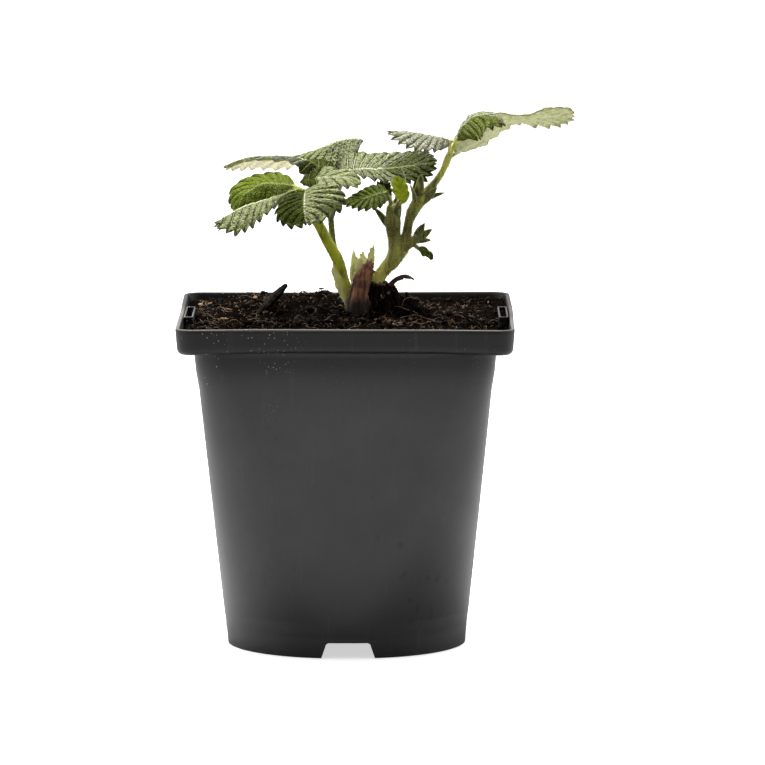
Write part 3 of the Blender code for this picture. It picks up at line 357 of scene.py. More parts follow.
def hair_coat(obj, count, seed, length, width, rise, above):
    """Hairs that stand on a piece's skin above a height and lean up a little."""
    spots, out, draw = surface_draws(obj, count, seed, above)
    scatter = draw.normal(0, 0.35, (count, 3))
    lengths = length * draw.uniform(0.45, 1.15, count)
    widths = width * draw.uniform(0.7, 1.2, count)
    return spikes(spots - 0.05 * out, out + scatter + (0, 0, rise), lengths, widths)


# Materials

def colour(red, green, blue):
    """Linear colour with alpha from display values of 0 to 255."""
    def linear(value):
        share = value / 255
        return share / 12.92 if share <= 0.04045 else ((share + 0.055) / 1.055) ** 2.4

    return (linear(red), linear(green), linear(blue), 1.0)


class Nodes:
    """A node tree with short calls for what the shaders need often."""

    def __init__(self, tree):
        self.tree = tree
        tree.nodes.clear()

    def add(self, kind, inputs=None, out=0, **settings):
        """A shader node with its inputs set or linked. Returns one of its outputs."""
        node = self.tree.nodes.new("ShaderNode" + kind)
        for key, value in settings.items():
            setattr(node, key, value)
        for key, value in (inputs or {}).items():
            if isinstance(value, bpy.types.NodeSocket):
                self.tree.links.new(value, node.inputs[key])
            else:
                node.inputs[key].default_value = value
        return node.outputs[out]

    def calc(self, operation, a, b=0.0):
        return self.add("Math", {0: a, 1: b}, operation=operation)

    def times(self, a, b):
        return self.calc("MULTIPLY", a, b)

    def plus(self, total, *others):
        for other in others:
            total = self.calc("ADD", total, other)
        return total

    def centred(self, value, reach):
        """Noise around 0.5 as noise around zero, widened."""
        return self.times(self.calc("SUBTRACT", value, 0.5), reach)

    def axis(self, vector, number):
        return self.add("SeparateXYZ", {"Vector": vector}, number)

    def ease(self, value, low, high, to_low=0.0, to_high=1.0):
        """Smooth passage of a value from low..high to to_low..to_high."""
        inputs = {"Value": value, "From Min": low, "From Max": high, "To Min": to_low, "To Max": to_high}
        return self.add("MapRange", inputs, interpolation_type="SMOOTHSTEP")

    def blend(self, share, a, b):
        return self.add("Mix", {0: share, 6: a, 7: b}, 2, data_type="RGBA")

    def paint(self, base, share, tint):
        """The base colour with a share of a tint in display values."""
        return self.blend(share, base, colour(*tint))


class Look(Nodes):
    """A material under way."""

    def __init__(self, name):
        self.material = bpy.data.materials.new(name)
        self.material.use_nodes = True
        super().__init__(self.material.node_tree)
        self.coords = self.add("TexCoord", out=3)

    def noise(self, scale, detail=3.0, rough=0.55, coords=None):
        coords = self.coords if coords is None else coords
        return self.add("TexNoise", {"Vector": coords, "Scale": scale, "Detail": detail, "Roughness": rough})

    def stretched(self, across, up):
        return self.add("Mapping", {"Vector": self.coords, "Scale": (across, across, up)})

    def lines(self, across, up, detail, rough):
        """Noise drawn out into upright lines."""
        return self.noise(1.0, detail, rough, self.stretched(across, up))

    def ramp(self, value, places, tones):
        """A colour ramp with tones in display values at the given places."""
        node = self.tree.nodes.new("ShaderNodeValToRGB")
        elements = node.color_ramp.elements
        while len(elements) < len(tones):
            elements.new(0.5)
        for element, place, tone in zip(elements, places, tones):
            element.position = place
            element.color = colour(*tone)
        self.tree.links.new(value, node.inputs[0])
        return node.outputs[0]

    def bump(self, height, distance, strength):
        return self.add("Bump", {"Height": height, "Distance": distance * MM, "Strength": strength})

    def skin(self, base, rough, inputs):
        return self.add("BsdfPrincipled", {"Base Color": base, "Roughness": rough, **inputs})

    def close(self, surface, share=None, light=None):
        """The finished material, with a share of light from behind where the piece is thin."""
        if light:
            through = self.add("BsdfTranslucent", light)
            surface = self.add("MixShader", {0: share, 1: surface, 2: through})
        output = self.tree.nodes.new("ShaderNodeOutputMaterial")
        self.tree.links.new(surface, output.inputs["Surface"])
        return self.material


class BladeLook(Look):
    """A material that knows its place on a blade: tooth count, share from the rib to the rim, distance
    to the side veins, the net between them, and the leaflet's tone of painted light and shade."""

    def __init__(self, name):
        super().__init__(name)
        blade = self.add("Attribute", out=1, attribute_name="blade")
        self.count, side_share, self.tone = (self.axis(blade, number) for number in range(3))
        self.inner = self.calc("ABSOLUTE", side_share)
        phase = self.calc("FRACT", self.plus(self.count, 0.5 - TOOTH_TIP + WHOLE_TEETH))
        self.from_vein = self.calc("ABSOLUTE", self.calc("SUBTRACT", phase, 0.5))
        flat = self.add("CombineXYZ", {0: self.times(self.count, 1.9), 1: self.times(self.inner, 7.0)})
        inputs = {"Vector": flat, "Scale": 1.0, "Randomness": 0.85}
        self.net = self.add("TexVoronoi", inputs, feature="DISTANCE_TO_EDGE", voronoi_dimensions="2D")


def plastic_material():
    """Charcoal plastic with painted shade toward the foot and on and under the band, painted shade on the
    inside above the soil, a painted highlight along the front of the lip, streaks, dust and droplets.
    Heights and places are in metres."""
    look = Look("charcoal_plastic")
    across, deep, height = (look.axis(look.coords, number) for number in range(3))
    base = look.ramp(look.noise(45.0, 4.0, 0.6), (0.3, 0.7), ((37, 35, 36), (47, 45, 46)))
    # Painted shade: darker toward the foot.
    base = look.paint(base, look.ease(height, 0.0, 0.05, 1.0, 0.0), (30, 28, 30))
    # Painted shade on the band and on the wall under its overhang.
    base = look.paint(base, look.ease(height, 0.092, 0.1195), (8, 7, 8))
    # Painted shade: the inner wall above the soil is made near-black.
    from_axis = look.calc("ABSOLUTE", look.calc("SUBTRACT", across, POT_X * MM))
    reach = look.calc("MAXIMUM", from_axis, look.calc("ABSOLUTE", deep))
    inner_wall = RIM_HALF - BAND_WALL
    inside_shade = look.ease(reach, (inner_wall + 0.3) * MM, (inner_wall - 0.1) * MM)
    base = look.paint(base, look.times(inside_shade, look.ease(height, 0.119, 0.121)), (5, 4, 3))
    # Painted highlight: a pale line along the lip, on the front side only.
    front = look.ease(deep, 0.02, -0.01, 0.15, 1.0)
    lip = look.ease(height, 0.1289, 0.1296, 0.0, 0.8)
    base = look.paint(base, look.times(lip, front), (96, 92, 88))
    streak = look.ease(look.lines(260.0, 9.0, 3.0, 0.6), 0.56, 0.75, 0.0, 0.3)
    base = look.paint(base, streak, (62, 60, 64))
    specks = look.add("TexVoronoi", {"Vector": look.coords, "Scale": 700.0, "Randomness": 1.0})
    patches = look.ease(look.noise(60.0, 3.0, 0.6), 0.5, 0.56)
    patches = look.times(patches, look.ease(across, -0.028, -0.042, 0.12, 1.0))
    dust = look.times(look.times(look.ease(specks, 0.2, 0.13), patches), look.ease(height, 0.085, 0.128))
    base = look.paint(base, dust, (150, 140, 125))
    drops = look.add("TexVoronoi", {"Vector": look.stretched(1.0, 0.8), "Scale": 210.0})
    damp = look.ease(look.noise(30.0, 2.0, 0.5), 0.55, 0.62)
    damp = look.times(damp, look.ease(across, -0.02, 0.03, 0.2, 0.7))
    base = look.paint(base, look.times(look.ease(drops, 0.3, 0.2), damp), (16, 15, 16))
    rough = look.plus(
        look.ease(look.noise(14.0, 2.0, 0.5), 0.3, 0.7, 0.33, 0.43),
        look.ease(height, 0.1285, 0.1296, 0.0, 0.35),
        look.times(streak, 0.3),
    )
    grain = look.plus(look.noise(9.0, 1.0, 0.5), look.times(look.noise(900.0, 2.0, 0.5), 0.04))
    shine = look.ease(height, 0.1, 0.122, 0.5, 0.36)
    normal = look.bump(grain, 1.2, 0.5)
    return look.close(look.skin(base, rough, {"Normal": normal, "Specular IOR Level": shine}))


def soil_material():
    look = Look("compost")
    coarse = look.noise(260.0, 5.0, 0.65)
    fine = look.noise(1100.0, 3.0, 0.7)
    base = look.ramp(coarse, (0.3, 0.52, 0.72), ((1, 1, 1), (8.5, 6, 4.5), (16, 11, 8)))
    base = look.paint(base, look.ease(fine, 0.6, 0.72, 0.0, 0.7), (62, 50, 38))
    normal = look.bump(look.plus(coarse, look.times(fine, 0.4)), 1.2, 0.9)
    return look.close(look.skin(base, 0.9, {"Normal": normal, "Specular IOR Level": 0.0}))


def fibre_material(name, *tones):
    """Bark, wood, straw and roots. The piece's tone attribute picks a colour between the given ones."""
    look = Look(name)
    tone = look.axis(look.add("Attribute", out=1, attribute_name="tone"), 0)
    grain = look.noise(700.0, 4.0, 0.65)
    base = look.ramp(look.plus(tone, look.centred(grain, 0.7)), np.linspace(0, 1, len(tones)), tones)
    normal = look.bump(grain, 0.25, 0.6)
    return look.close(look.skin(base, 0.8, {"Normal": normal, "Specular IOR Level": 0.05}))


def leaf_material(name, dark, light, vein, through, gloss=0.45, through_share=0.3, tint=0.84):
    """The upper side: quilted green with paler veins, painted sheen on the bulges and painted shade in the
    valleys by the side veins, the leaflet's painted light and shade, a brown rim on the teeth, and light
    through it.
    """
    look = BladeLook(name)
    mottle = look.noise(640.0, 4.0, 0.75)
    cells = look.ease(look.net, 0.02, 0.2)
    # Painted sheen and shade: lighter on the bulges between side veins, darker in the valleys beside them;
    # the leaflet's tone adds its painted light and shade.
    beside = look.ease(look.from_vein, 0.08, 0.26, -0.85, 0.25)
    tone = look.plus(look.tone, look.centred(mottle, 3.4), look.times(cells, -0.85), 0.4, beside)
    base = look.blend(look.ease(tone, -0.25, 0.95), colour(*dark), colour(*light))
    side_vein = look.ease(look.from_vein, 0.09, 0.03, 0.0, 0.95)
    fade = look.ease(look.inner, 1.0, 0.5, 0.4, 1.0)
    base = look.paint(base, look.times(side_vein, fade), vein)
    base = look.paint(base, look.ease(look.inner, 0.07, 0.02, 0.0, 0.85), vein)
    base = look.paint(base, look.times(look.ease(look.inner, 0.93, 0.99), 0.75), (30, 28, 10))
    normal = look.bump(look.plus(
        look.times(cells, 0.5),
        look.times(look.noise(1500.0, 2.0, 0.6), 0.35),
        look.times(mottle, 0.5),
        look.times(side_vein, -0.5),
    ), 0.8, 1.0)
    front = look.skin(base, 0.44, {
        "Normal": normal,
        "Specular IOR Level": gloss,
        "Specular Tint": (1.0, 1.0, tint, 1.0),
        "Sheen Weight": 0.22 * gloss,
        "Sheen Roughness": 0.4,
        "Sheen Tint": (0.9, 0.94, tint, 1.0),
    })
    glow = look.blend(look.times(side_vein, 0.6), colour(*through), colour(170, 190, 90))
    return look.close(front, through_share, {"Color": glow, "Normal": normal})


def underside_material(name, dark, light, vein, through, through_share=0.3, foot=None):
    """The lower side: pale and downy, with raised veins and a few dark specks."""
    look = BladeLook(name)
    base = look.blend(look.ease(look.noise(420.0, 4.0, 0.7), 0.32, 0.66), colour(*dark), colour(*light))
    cells = look.ease(look.net, 0.0, 0.2)
    base = look.paint(base, look.times(look.calc("SUBTRACT", 1.0, cells), 0.6), vein)
    base = look.paint(base, look.ease(look.from_vein, 0.13, 0.03, 0.0, 0.8), vein)
    base = look.paint(base, look.ease(look.inner, 0.09, 0.03), vein)
    specks = look.add("TexVoronoi", {"Vector": look.coords, "Scale": 240.0})
    base = look.paint(base, look.ease(specks, 0.19, 0.12, 0.0, 0.9), (60, 46, 30))
    base = look.paint(base, look.times(look.ease(look.inner, 0.9, 0.97), 0.75), (60, 52, 30))
    glow = colour(*through)
    if foot:
        near_stalk = look.ease(look.count, 1.6, 0.2)
        base = look.paint(base, near_stalk, foot)
        glow = look.paint(glow, near_stalk, foot)
    height = look.plus(look.times(cells, -0.4), look.times(look.noise(1500.0, 2.0, 0.6), 0.4))
    normal = look.bump(height, 0.35, 0.9)
    sheen = {"Sheen Weight": 0.35, "Sheen Roughness": 0.5, "Sheen Tint": (0.95, 0.96, 0.9, 1.0)}
    front = look.skin(base, 0.6, {"Normal": normal, **sheen})
    return look.close(front, through_share, {"Color": glow, "Normal": normal})


def stem_material(name, low, middle, high, heights, ribs=500.0, lined=0.9, half_way=0.4):
    """Stems: colours by height, fine lines along them, and a little light in the skin."""
    look = Look(name)
    at = look.ease(look.axis(look.coords, 2), heights[0] * MM, heights[1] * MM)
    base = look.ramp(at, (0.0, half_way, 1.0), (low, middle, high))
    lines = look.lines(ribs * 1.6, ribs * 0.16, 3.0, 0.6)
    darker = look.paint(base, 0.75, (18, 20, 2))
    base = look.blend(look.ease(lines, 0.56, 0.4, 0.0, lined), base, darker)
    normal = look.bump(look.plus(lines, look.times(look.noise(1300.0, 2.0, 0.5), 0.3)), 0.3, 0.6)
    return look.close(look.skin(base, 0.45, {
        "Normal": normal,
        "Specular IOR Level": 0.3,
        "Subsurface Weight": 0.12,
        "Subsurface Radius": (1.0, 0.9, 0.3),
        "Subsurface Scale": 1.5 * MM,
    }))


def sheath_material(name, tones, through, share, margin=0.0, buried=None):
    """Papery sheaths and bracts with lines from foot to tip, and for some a margin of the palest tone
    or a foot that is dark from the soil between two heights."""
    look = BladeLook(name) if margin else Look(name)
    lines = look.lines(924.0, 92.4, 4.0, 0.65)
    patches = look.noise(160.0, 3.0, 0.6)
    mixed = look.plus(look.times(lines, 0.65), look.times(patches, 0.35))
    base = look.ramp(mixed, np.linspace(0.36, 0.64, len(tones)), tones)
    if margin:
        base = look.paint(base, look.ease(look.inner, 0.7, 0.95, 0.0, margin), tones[-1])
    if buried:
        place = look.plus(look.axis(look.coords, 2), look.centred(patches, 0.012))
        base = look.paint(base, look.ease(place, buried[1] * MM, buried[0] * MM, 0.0, 0.85), (16, 10, 7))
    normal = look.bump(lines, 0.3, 0.7)
    front = look.skin(base, 0.55, {"Normal": normal})
    return look.close(front, share, {"Color": colour(*through), "Normal": normal})


def hair_material(name, tint):
    look = Look(name)
    base = look.blend(look.noise(800.0), colour(*tint), colour(*[min(255, value * 1.2) for value in tint]))
    return look.close(look.skin(base, 0.5, {"Specular IOR Level": 0.4}), 0.35, {"Color": colour(*tint)})


MATURE = leaf_material("leaf_upper", (10, 16, 0), (162, 170, 104), (224, 228, 186), (140, 155, 10), 0.4)
THIN = leaf_material(
    "leaf_thin", (60, 68, 10), (120, 128, 60), (160, 166, 100), (190, 195, 140), 0.45, 0.42)
BRIGHT = leaf_material(
    "leaf_bright", (28, 40, 1), (132, 150, 22), (190, 200, 100), (150, 172, 8), 0.3, 0.5, 0.6)
# Painted light: a lighter copy of the leaf for a young leaflet that gets little light.
LIT_LEAF = leaf_material(
    "leaf_lime", (100, 118, 10), (214, 226, 70), (236, 240, 150), (226, 240, 40), 0.3, 0.6, 0.6)
# Painted shade: a darker, duller copy of the leaf for shaded halves and patches.
SHADED_LEAF = leaf_material("leaf_deep", (14, 20, 1), (84, 96, 14), (140, 148, 60), (96, 112, 2), 0.12, 0.5, 0.6)
# Painted shade: a darker copy of the leaf for a shaded tip and a shaded half.
HALF_SHADED_LEAF = leaf_material(
    "leaf_dusky", (10, 15, 0), (112, 124, 40), (160, 168, 96), (120, 136, 8), 0.2, 0.35, 0.6)
# Painted sheen: a whitish copy of the leaf for upper sides that catch the light.
SHEEN_LEAF = leaf_material(
    "leaf_mist", (34, 38, 16), (186, 188, 154), (230, 230, 210), (170, 176, 90), 0.5, 0.3, 0.95)
PALE = leaf_material("leaf_pale", (110, 116, 70), (200, 202, 164), (220, 222, 190), (255, 252, 230), 0.3, 0.6)
YOUNG = leaf_material(
    "young_leaf_upper", (24, 34, 2), (124, 140, 40), (170, 178, 104), (140, 160, 12), 0.25, 0.4, 0.7)
UNDER = underside_material("leaf_under", (150, 152, 108), (198, 198, 158), (196, 198, 130), (190, 200, 110))
SHELL = underside_material(
    "leaf_under_pale", (168, 162, 146), (214, 208, 194), (196, 190, 168), (224, 220, 204), 0.62, (60, 70, 16))
THIN_UNDER = underside_material(
    "leaf_under_thin", (146, 150, 104), (242, 242, 216), (250, 250, 212), (226, 226, 190), 0.42)
PETIOLE = stem_material(
    "petiole_green", (236, 234, 120), (206, 210, 20), (128, 138, 20), (126, 180), 300.0, 0.7)
BACK_STEM = stem_material(
    "petiole_back", (120, 112, 50), (112, 112, 40), (120, 122, 44), (120, 185), 500.0, 0.7)
STALK_GREEN = stem_material(
    "stalk_green", (255, 252, 130), (92, 88, 18), (200, 200, 84), (134, 190), 420.0, 0.66, 0.5)
BRACT_GREEN = sheath_material(
    "bract_green", ((16, 18, 2), (80, 86, 18), (176, 176, 104)), (130, 140, 20), 0.2, 0.75)
BUD_PALE = sheath_material(
    "bud_pale", ((150, 150, 84), (226, 224, 176), (250, 248, 224)), (236, 236, 180), 0.45)
BROWN = sheath_material(
    "brown_sheath_skin", ((18, 8, 4), (104, 58, 36), (176, 120, 82)), (120, 60, 26), 0.1, buried=(132, 142))
RED = sheath_material("red_bract_skin", ((14, 5, 3), (60, 28, 17), (112, 66, 42)), (100, 36, 18), 0.1)
BARK = fibre_material("bark_skin", (5, 3, 2), (22, 15, 11), (58, 42, 30))
WOOD = fibre_material("wood_skin", (56, 40, 26), (110, 84, 60), (170, 140, 108))
TAN = fibre_material("tan_skin", (16, 10, 7), (62, 40, 26), (140, 100, 66))
BITS = fibre_material("bits_skin", (4, 3, 2), (20, 14, 10), (60, 42, 29), (128, 98, 72))
ROOTS = fibre_material("fibre_skin", (10, 8, 6), (40, 32, 25), (80, 66, 53), (146, 126, 104))
CRUMBS = fibre_material("crumb_skin", (1, 1, 1), (11, 9, 7), (46, 38, 31), (116, 98, 80))
PLASTIC = plastic_material()
COMPOST = soil_material()
HAIRS = hair_material("hairs", (196, 198, 150))


# The pot

def rounded_square(half, corner, z, steps=36):
    """A ring of points at one height: four arcs, joined by straight sides with points of their own."""
    arcs = []
    for quarter in range(4):
        middle = math.pi / 2 * (quarter + 0.5)
        centre = (half - corner) * np.sign([math.cos(middle), math.sin(middle)])
        angles = math.pi / 2 * (quarter + np.arange(steps + 1) / steps)
        arcs.append(centre + corner * np.stack([np.cos(angles), np.sin(angles)], 1))
    shares = np.array([0.2, 0.4, 0.6, 0.8])[:, None]
    ring = []
    for arc, following in zip(arcs, arcs[1:] + arcs[:1]):
        ring += [arc, arc[-1] + (following[0] - arc[-1]) * shares]
    flat = np.vstack(ring)
    return np.column_stack([flat, np.full(len(flat), z)])


def body_half(z):
    known = {
        0.0: FOOT_HALF,
        FOOT_TOP: FOOT_HALF + 0.4,
        STEP_TOP: BODY_FOOT_HALF,
        SHOULDER_HEIGHT: BODY_SHOULDER_HALF,
        SHOULDER_HEIGHT + 8.0: BODY_TOP_HALF - 0.6,
        BAND_FOOT: BODY_TOP_HALF,
    }
    return float(np.interp(z, list(known), list(known.values())))


def body_corner(z, half):
    rise = np.clip((z - STEP_TOP) / (BAND_FOOT - STEP_TOP), 0, 1)
    flat_foot = (1 - ROUNDNESS) * half
    flat_top = BODY_TOP_HALF - RIM_CORNER - 1.0
    return half - (flat_foot + (flat_top - flat_foot) * rise)


def body_ring(z, inset=0.0, at=None):
    outer = body_half(z)
    return rounded_square(outer - inset, body_corner(z, outer) - inset, z if at is None else at)


def band_ring(z, inset=0.0):
    outer = RIM_HALF - BAND_DRAFT * (POT_HEIGHT - z) / BAND_HEIGHT
    return rounded_square(outer - inset, RIM_CORNER - inset, z)


def rounding(radius, start, end, steps=5):
    """Offsets inward and along for a rounded edge between two angles."""
    angles = np.radians(np.linspace(start, end, steps))
    return [(radius - radius * math.cos(a), radius * math.sin(a)) for a in angles]


def pot_rings():
    foot = (1.0, 3.0, 5.0, 6.6, FOOT_TOP, 8.6, 10.0, 11.6, 12.8, STEP_TOP, 14.6)
    shoulder = (106.0, 108.0, 110.0, 112.0, 115.0, 118.0, BAND_FOOT - 0.7)
    outside = [body_ring(z) for z in (*foot, *np.linspace(18, SHOULDER_HEIGHT, 18), *shoulder)]
    lower_edge = [band_ring(BAND_FOOT + 2.2 - up, inward) for inward, up in rounding(2.2, 90, 0)]
    upper_edge = [band_ring(POT_HEIGHT - 0.5 + up, inward) for inward, up in rounding(0.5, 0, 90, 4)]
    inner_edge = [
        band_ring(POT_HEIGHT - 0.4 + up, BAND_WALL - inward) for inward, up in rounding(0.4, 90, 0, 4)
    ]
    inside = [body_ring(z, BODY_WALL) for z in (112.0, 104.0, 90.0, 60.0, 30.0, STEP_TOP)]
    return [
        body_ring(0.0, FOOT_WALL, FLOOR_UNDER),
        body_ring(0.0, FOOT_WALL),
        body_ring(0.0, FOOT_WALL / 2),
        body_ring(0.0, 0.25),
        body_ring(0.3),
        *outside,
        body_ring(BAND_FOOT, -0.5),
        *lower_edge,
        *[band_ring(z) for z in (BAND_FOOT + 3.5, 126.0, 128.0)],
        *upper_edge,
        *inner_edge,
        band_ring(126.0, BAND_WALL + 0.1),
        band_ring(BAND_FOOT + LEDGE_RISE + 0.4, BAND_WALL + 0.3),
        body_ring(BAND_FOOT, BODY_WALL - 0.3, BAND_FOOT + LEDGE_RISE),
        *inside,
        body_ring(FLOOR_TOP + 2.0, BODY_WALL),
        body_ring(FLOOR_TOP, BODY_WALL + 0.8),
    ]


def warped(points):
    """The thin rim's slight unevenness, none at the foot."""
    x, y, z = points.T
    share = np.clip((z - 60) / 70, 0, 1) ** 2
    turn = np.arctan2(y, x)
    out = 0.22 * share * (np.sin(3 * turn + 0.6) + 0.6 * np.sin(5 * turn + 2.0))
    lift = 0.18 * share * np.sin(2 * turn + 0.9)
    corner = np.clip(np.abs(x) / RIM_HALF, 0, 1) ** 4 * np.clip(-y / RIM_HALF, 0, 1)
    band = np.clip((z - BAND_FOOT + 8) / 8, 0, 1)
    lift = lift - corner * band * (0.7 + 0.9 * np.clip((POT_HEIGHT - z) / BAND_HEIGHT, 0, 1))
    radius = np.maximum(np.hypot(x, y), 1.0)
    return np.stack([x + out * x / radius, y + out * y / radius, z + lift], 1)


def block(x_range, y_range, z_range, draft=0.0):
    points = []
    for z, small in ((z_range[0], 0.0), (z_range[1], draft)):
        x0, x1, y0, y1 = x_range[0] + small, x_range[1] - small, y_range[0] + small, y_range[1] - small
        points += [(x0, y0, z), (x1, y0, z), (x1, y1, z), (x0, y1, z)]
    return np.array(points, float), bridge([points[:4], points[4:]])


def notch_outline():
    corner = 1.5
    outline = [(-NOTCH_WIDE / 2 - 0.3, -1.0)]
    for side in (-1, 1):
        for step in range(7):
            angle = math.pi / 2 * step / 6
            turn = angle if side < 0 else math.pi / 2 - angle
            x = side * (NOTCH_NARROW / 2 - corner + corner * math.cos(turn))
            outline.append((x, NOTCH_HEIGHT - corner + corner * math.sin(turn)))
    outline.append((NOTCH_WIDE / 2 + 0.3, -1.0))
    return outline


def prism(outline, depth_range, degrees):
    turn = math.radians(degrees)
    rings = []
    for depth in depth_range:
        ring = []
        for across, z in outline:
            x = across * math.cos(turn) + depth * math.sin(turn)
            y = across * math.sin(turn) - depth * math.cos(turn)
            ring.append((x, y, z))
        rings.append(ring)
    return np.array([point for ring in rings for point in ring]), bridge(rings)


def upright_cylinder(x, y, radius, z_range, sides):
    turns = turns_of(sides)
    wide, deep = x + radius * np.cos(turns), y + radius * np.sin(turns)
    rings = [np.stack([wide, deep, np.full(sides, z)], 1) for z in z_range]
    return np.vstack(rings), bridge(rings)


def carve(obj, points, faces):
    """Takes a closed shape out of an object."""
    cutter = build("cutter", points, faces, [], smooth=False)
    turn_outward(cutter)
    cut = obj.modifiers.new("cut", "BOOLEAN")
    cut.operation = "DIFFERENCE"
    cut.solver = "EXACT"
    cut.object = cutter
    baked(obj)
    bpy.data.objects.remove(cutter)


def make_pot():
    rings = pot_rings()
    pot = build("pot_shell", warped(np.vstack(rings)), bridge(rings), [PLASTIC])
    turn_outward(pot)
    openings = []
    for quarter in range(4):
        depth = (FOOT_HALF - 6, FOOT_HALF + 3)
        openings.append(prism(notch_outline(), depth, 90 * quarter + NOTCH_TURN))
    places = [(0.0, 0.0)]
    for number in range(HOLES):
        turn = 2 * math.pi * number / HOLES
        places.append((HOLE_RING * math.cos(turn), HOLE_RING * math.sin(turn)))
    for x, y in places:
        openings.append(upright_cylinder(x, y, HOLE_RADIUS, (FLOOR_UNDER - 2, FLOOR_TOP + 2), 24))
    carve(pot, *joined(openings))
    pot.data.set_sharp_from_angle(angle=math.radians(SHARP_EDGE))
    keep(pot, "black_plastic", "pot")
    wall = RIM_HALF - BAND_DRAFT - BAND_WALL + LUG_INTO_WALL
    y_range = (-LUG_LENGTH / 2, LUG_LENGTH / 2)
    z_range = (BAND_FOOT + LUG_OVER_LEDGE, POT_HEIGHT - LUG_BELOW_RIM)
    for side, name in ((-1, "lug_left"), (1, "lug_right")):
        x_range = sorted((side * (wall - LUG_DEPTH), side * wall))
        lug = build(name, *block(x_range, y_range, z_range, LUG_DRAFT), [PLASTIC], smooth=False)
        turn_outward(lug)
        pocket_x, pocket_y = (
            (low + side_wall, high - side_wall)
            for (low, high), side_wall in zip((x_range, y_range), POCKET_SIDES)
        )
        carve(lug, *block(pocket_x, pocket_y, (z_range[1] - POCKET_DEPTH, z_range[1] + 1.0)))
        edge = lug.modifiers.new("edge", "BEVEL")
        edge.width = LUG_EDGE * MM
        edge.segments = 3
        baked(lug)
        keep(lug, "black_plastic")


# The soil

# Mounds of the soil and of its fine relief: height, middle and spread.
CROWN_SPREAD = 17.0 * math.sqrt(2)
MOUNDS = [
    (3.0, (CROWN_X - 3.0, 2.0), (CROWN_SPREAD, CROWN_SPREAD)),
    (3.6, (-16.0, 38.0), (20.0, 15.0)),
    (2.0, (30.0, 6.0), (24.0, 9.0)),
    (5.0, (23.0, 2.0), (5.5, 8.0)),
]
FINE_MOUNDS = [
    (-2.2, (-18.0, 4.0), (14.0, 16.0)),
    (3.4, (-9.0, 44.0), (8.0, 7.0)),
    (2.2, (-37.0, 50.0), (7.0, 6.0)),
]
# Uneven soil and its fine relief: height, size of the clods and seed.
CLODS = ((0.9, 9.0, 3), (0.6, 4.5, 4))
FINE_CLODS = ((0.9, 2.6, 21), (0.7, 1.4, 22), (0.45, 0.8, 23))


def relief(x, y, mounds, clods):
    total = 0.0
    for height, (mid_x, mid_y), (wide, deep) in mounds:
        total = total + height * np.exp(-(((x - mid_x) / wide) ** 2) - ((y - mid_y) / deep) ** 2)
    for height, cell, seed in clods:
        total = total + height * value_noise(x, y, cell, seed)
    return total


def soil_height(x, y):
    slope = SOIL_FRONT + (SOIL_BACK - SOIL_FRONT) * (y + 60) / 120
    return slope + relief(x, y, MOUNDS, CLODS)


def crumbly(x, y):
    """The soil with its fine relief on top of its form."""
    lumps = 1.8 * np.clip(value_noise(x, y, 5.5, 24), 0, 1) ** 2
    return soil_height(x, y) + relief(x, y, FINE_MOUNDS, FINE_CLODS) + lumps


def make_soil():
    clear = BODY_WALL + GAP
    band_clear = BAND_WALL + 0.3 + GAP
    rings = [
        body_ring(FLOOR_TOP + GAP, clear + 0.8),
        body_ring(FLOOR_TOP + 2.2, clear),
        *[body_ring(z, clear) for z in (STEP_TOP, 30.0, 60.0, 90.0)],
        *[body_ring(z, clear) for z in (SHOULDER_HEIGHT, SHOULDER_HEIGHT + 8.0)],
        body_ring(BAND_FOOT, clear - 0.3, BAND_FOOT + LEDGE_RISE),
        band_ring(BAND_FOOT + LEDGE_RISE + 0.4 + GAP, band_clear),
    ]
    rim = band_ring(BAND_FOOT + 4.0, band_clear)
    for share in np.linspace(1.0, 0.004, SOIL_RINGS):
        ring = rim.copy()
        ring[:, :2] *= share
        ring[:, 2] = crumbly(ring[:, 0], ring[:, 1])
        rings.append(ring)
    soil = build("soil_surface", np.vstack(rings), bridge(rings), [COMPOST])
    turn_outward(soil)
    keep(soil, "compost", "soil")


def lump(seed_draw, size, fine):
    """A crumb: a knocked-about ball of 80 or 20 faces."""
    golden = (1 + math.sqrt(5)) / 2
    base = unit(np.array([
        (-1, golden, 0), (1, golden, 0), (-1, -golden, 0), (1, -golden, 0),
        (0, -1, golden), (0, 1, golden), (0, -1, -golden), (0, 1, -golden),
        (golden, 0, -1), (golden, 0, 1), (-golden, 0, -1), (-golden, 0, 1),
    ], float))
    faces = [
        (0, 11, 5), (0, 5, 1), (0, 1, 7), (0, 7, 10), (0, 10, 11), (1, 5, 9), (5, 11, 4), (11, 10, 2),
        (10, 7, 6), (7, 1, 8), (3, 9, 4), (3, 4, 2), (3, 2, 6), (3, 6, 8), (3, 8, 9), (4, 9, 5),
        (2, 4, 11), (6, 2, 10), (8, 6, 7), (9, 8, 1),
    ]
    points = [tuple(p) for p in base]
    if fine:
        middles, finer = {}, []
        for a, b, c in faces:
            ids = []
            for p, q in ((a, b), (b, c), (c, a)):
                key = (min(p, q), max(p, q))
                if key not in middles:
                    middles[key] = len(points)
                    points.append(tuple(unit(np.array(points[p]) + np.array(points[q]))))
                ids.append(middles[key])
            ab, bc, ca = ids
            finer += [(a, ab, ca), (b, bc, ab), (c, ca, bc), (ab, bc, ca)]
        faces = finer
    points = np.array(points)
    points = points * seed_draw.uniform(0.68, 1.15, (len(points), 1))
    squash = seed_draw.uniform(0.5, 1.1, 3)
    turn = seed_draw.uniform(0, 2 * math.pi)
    spin = np.array([[math.cos(turn), -math.sin(turn), 0], [math.sin(turn), math.cos(turn), 0], [0, 0, 1]])
    return (points * squash * size) @ spin.T, faces


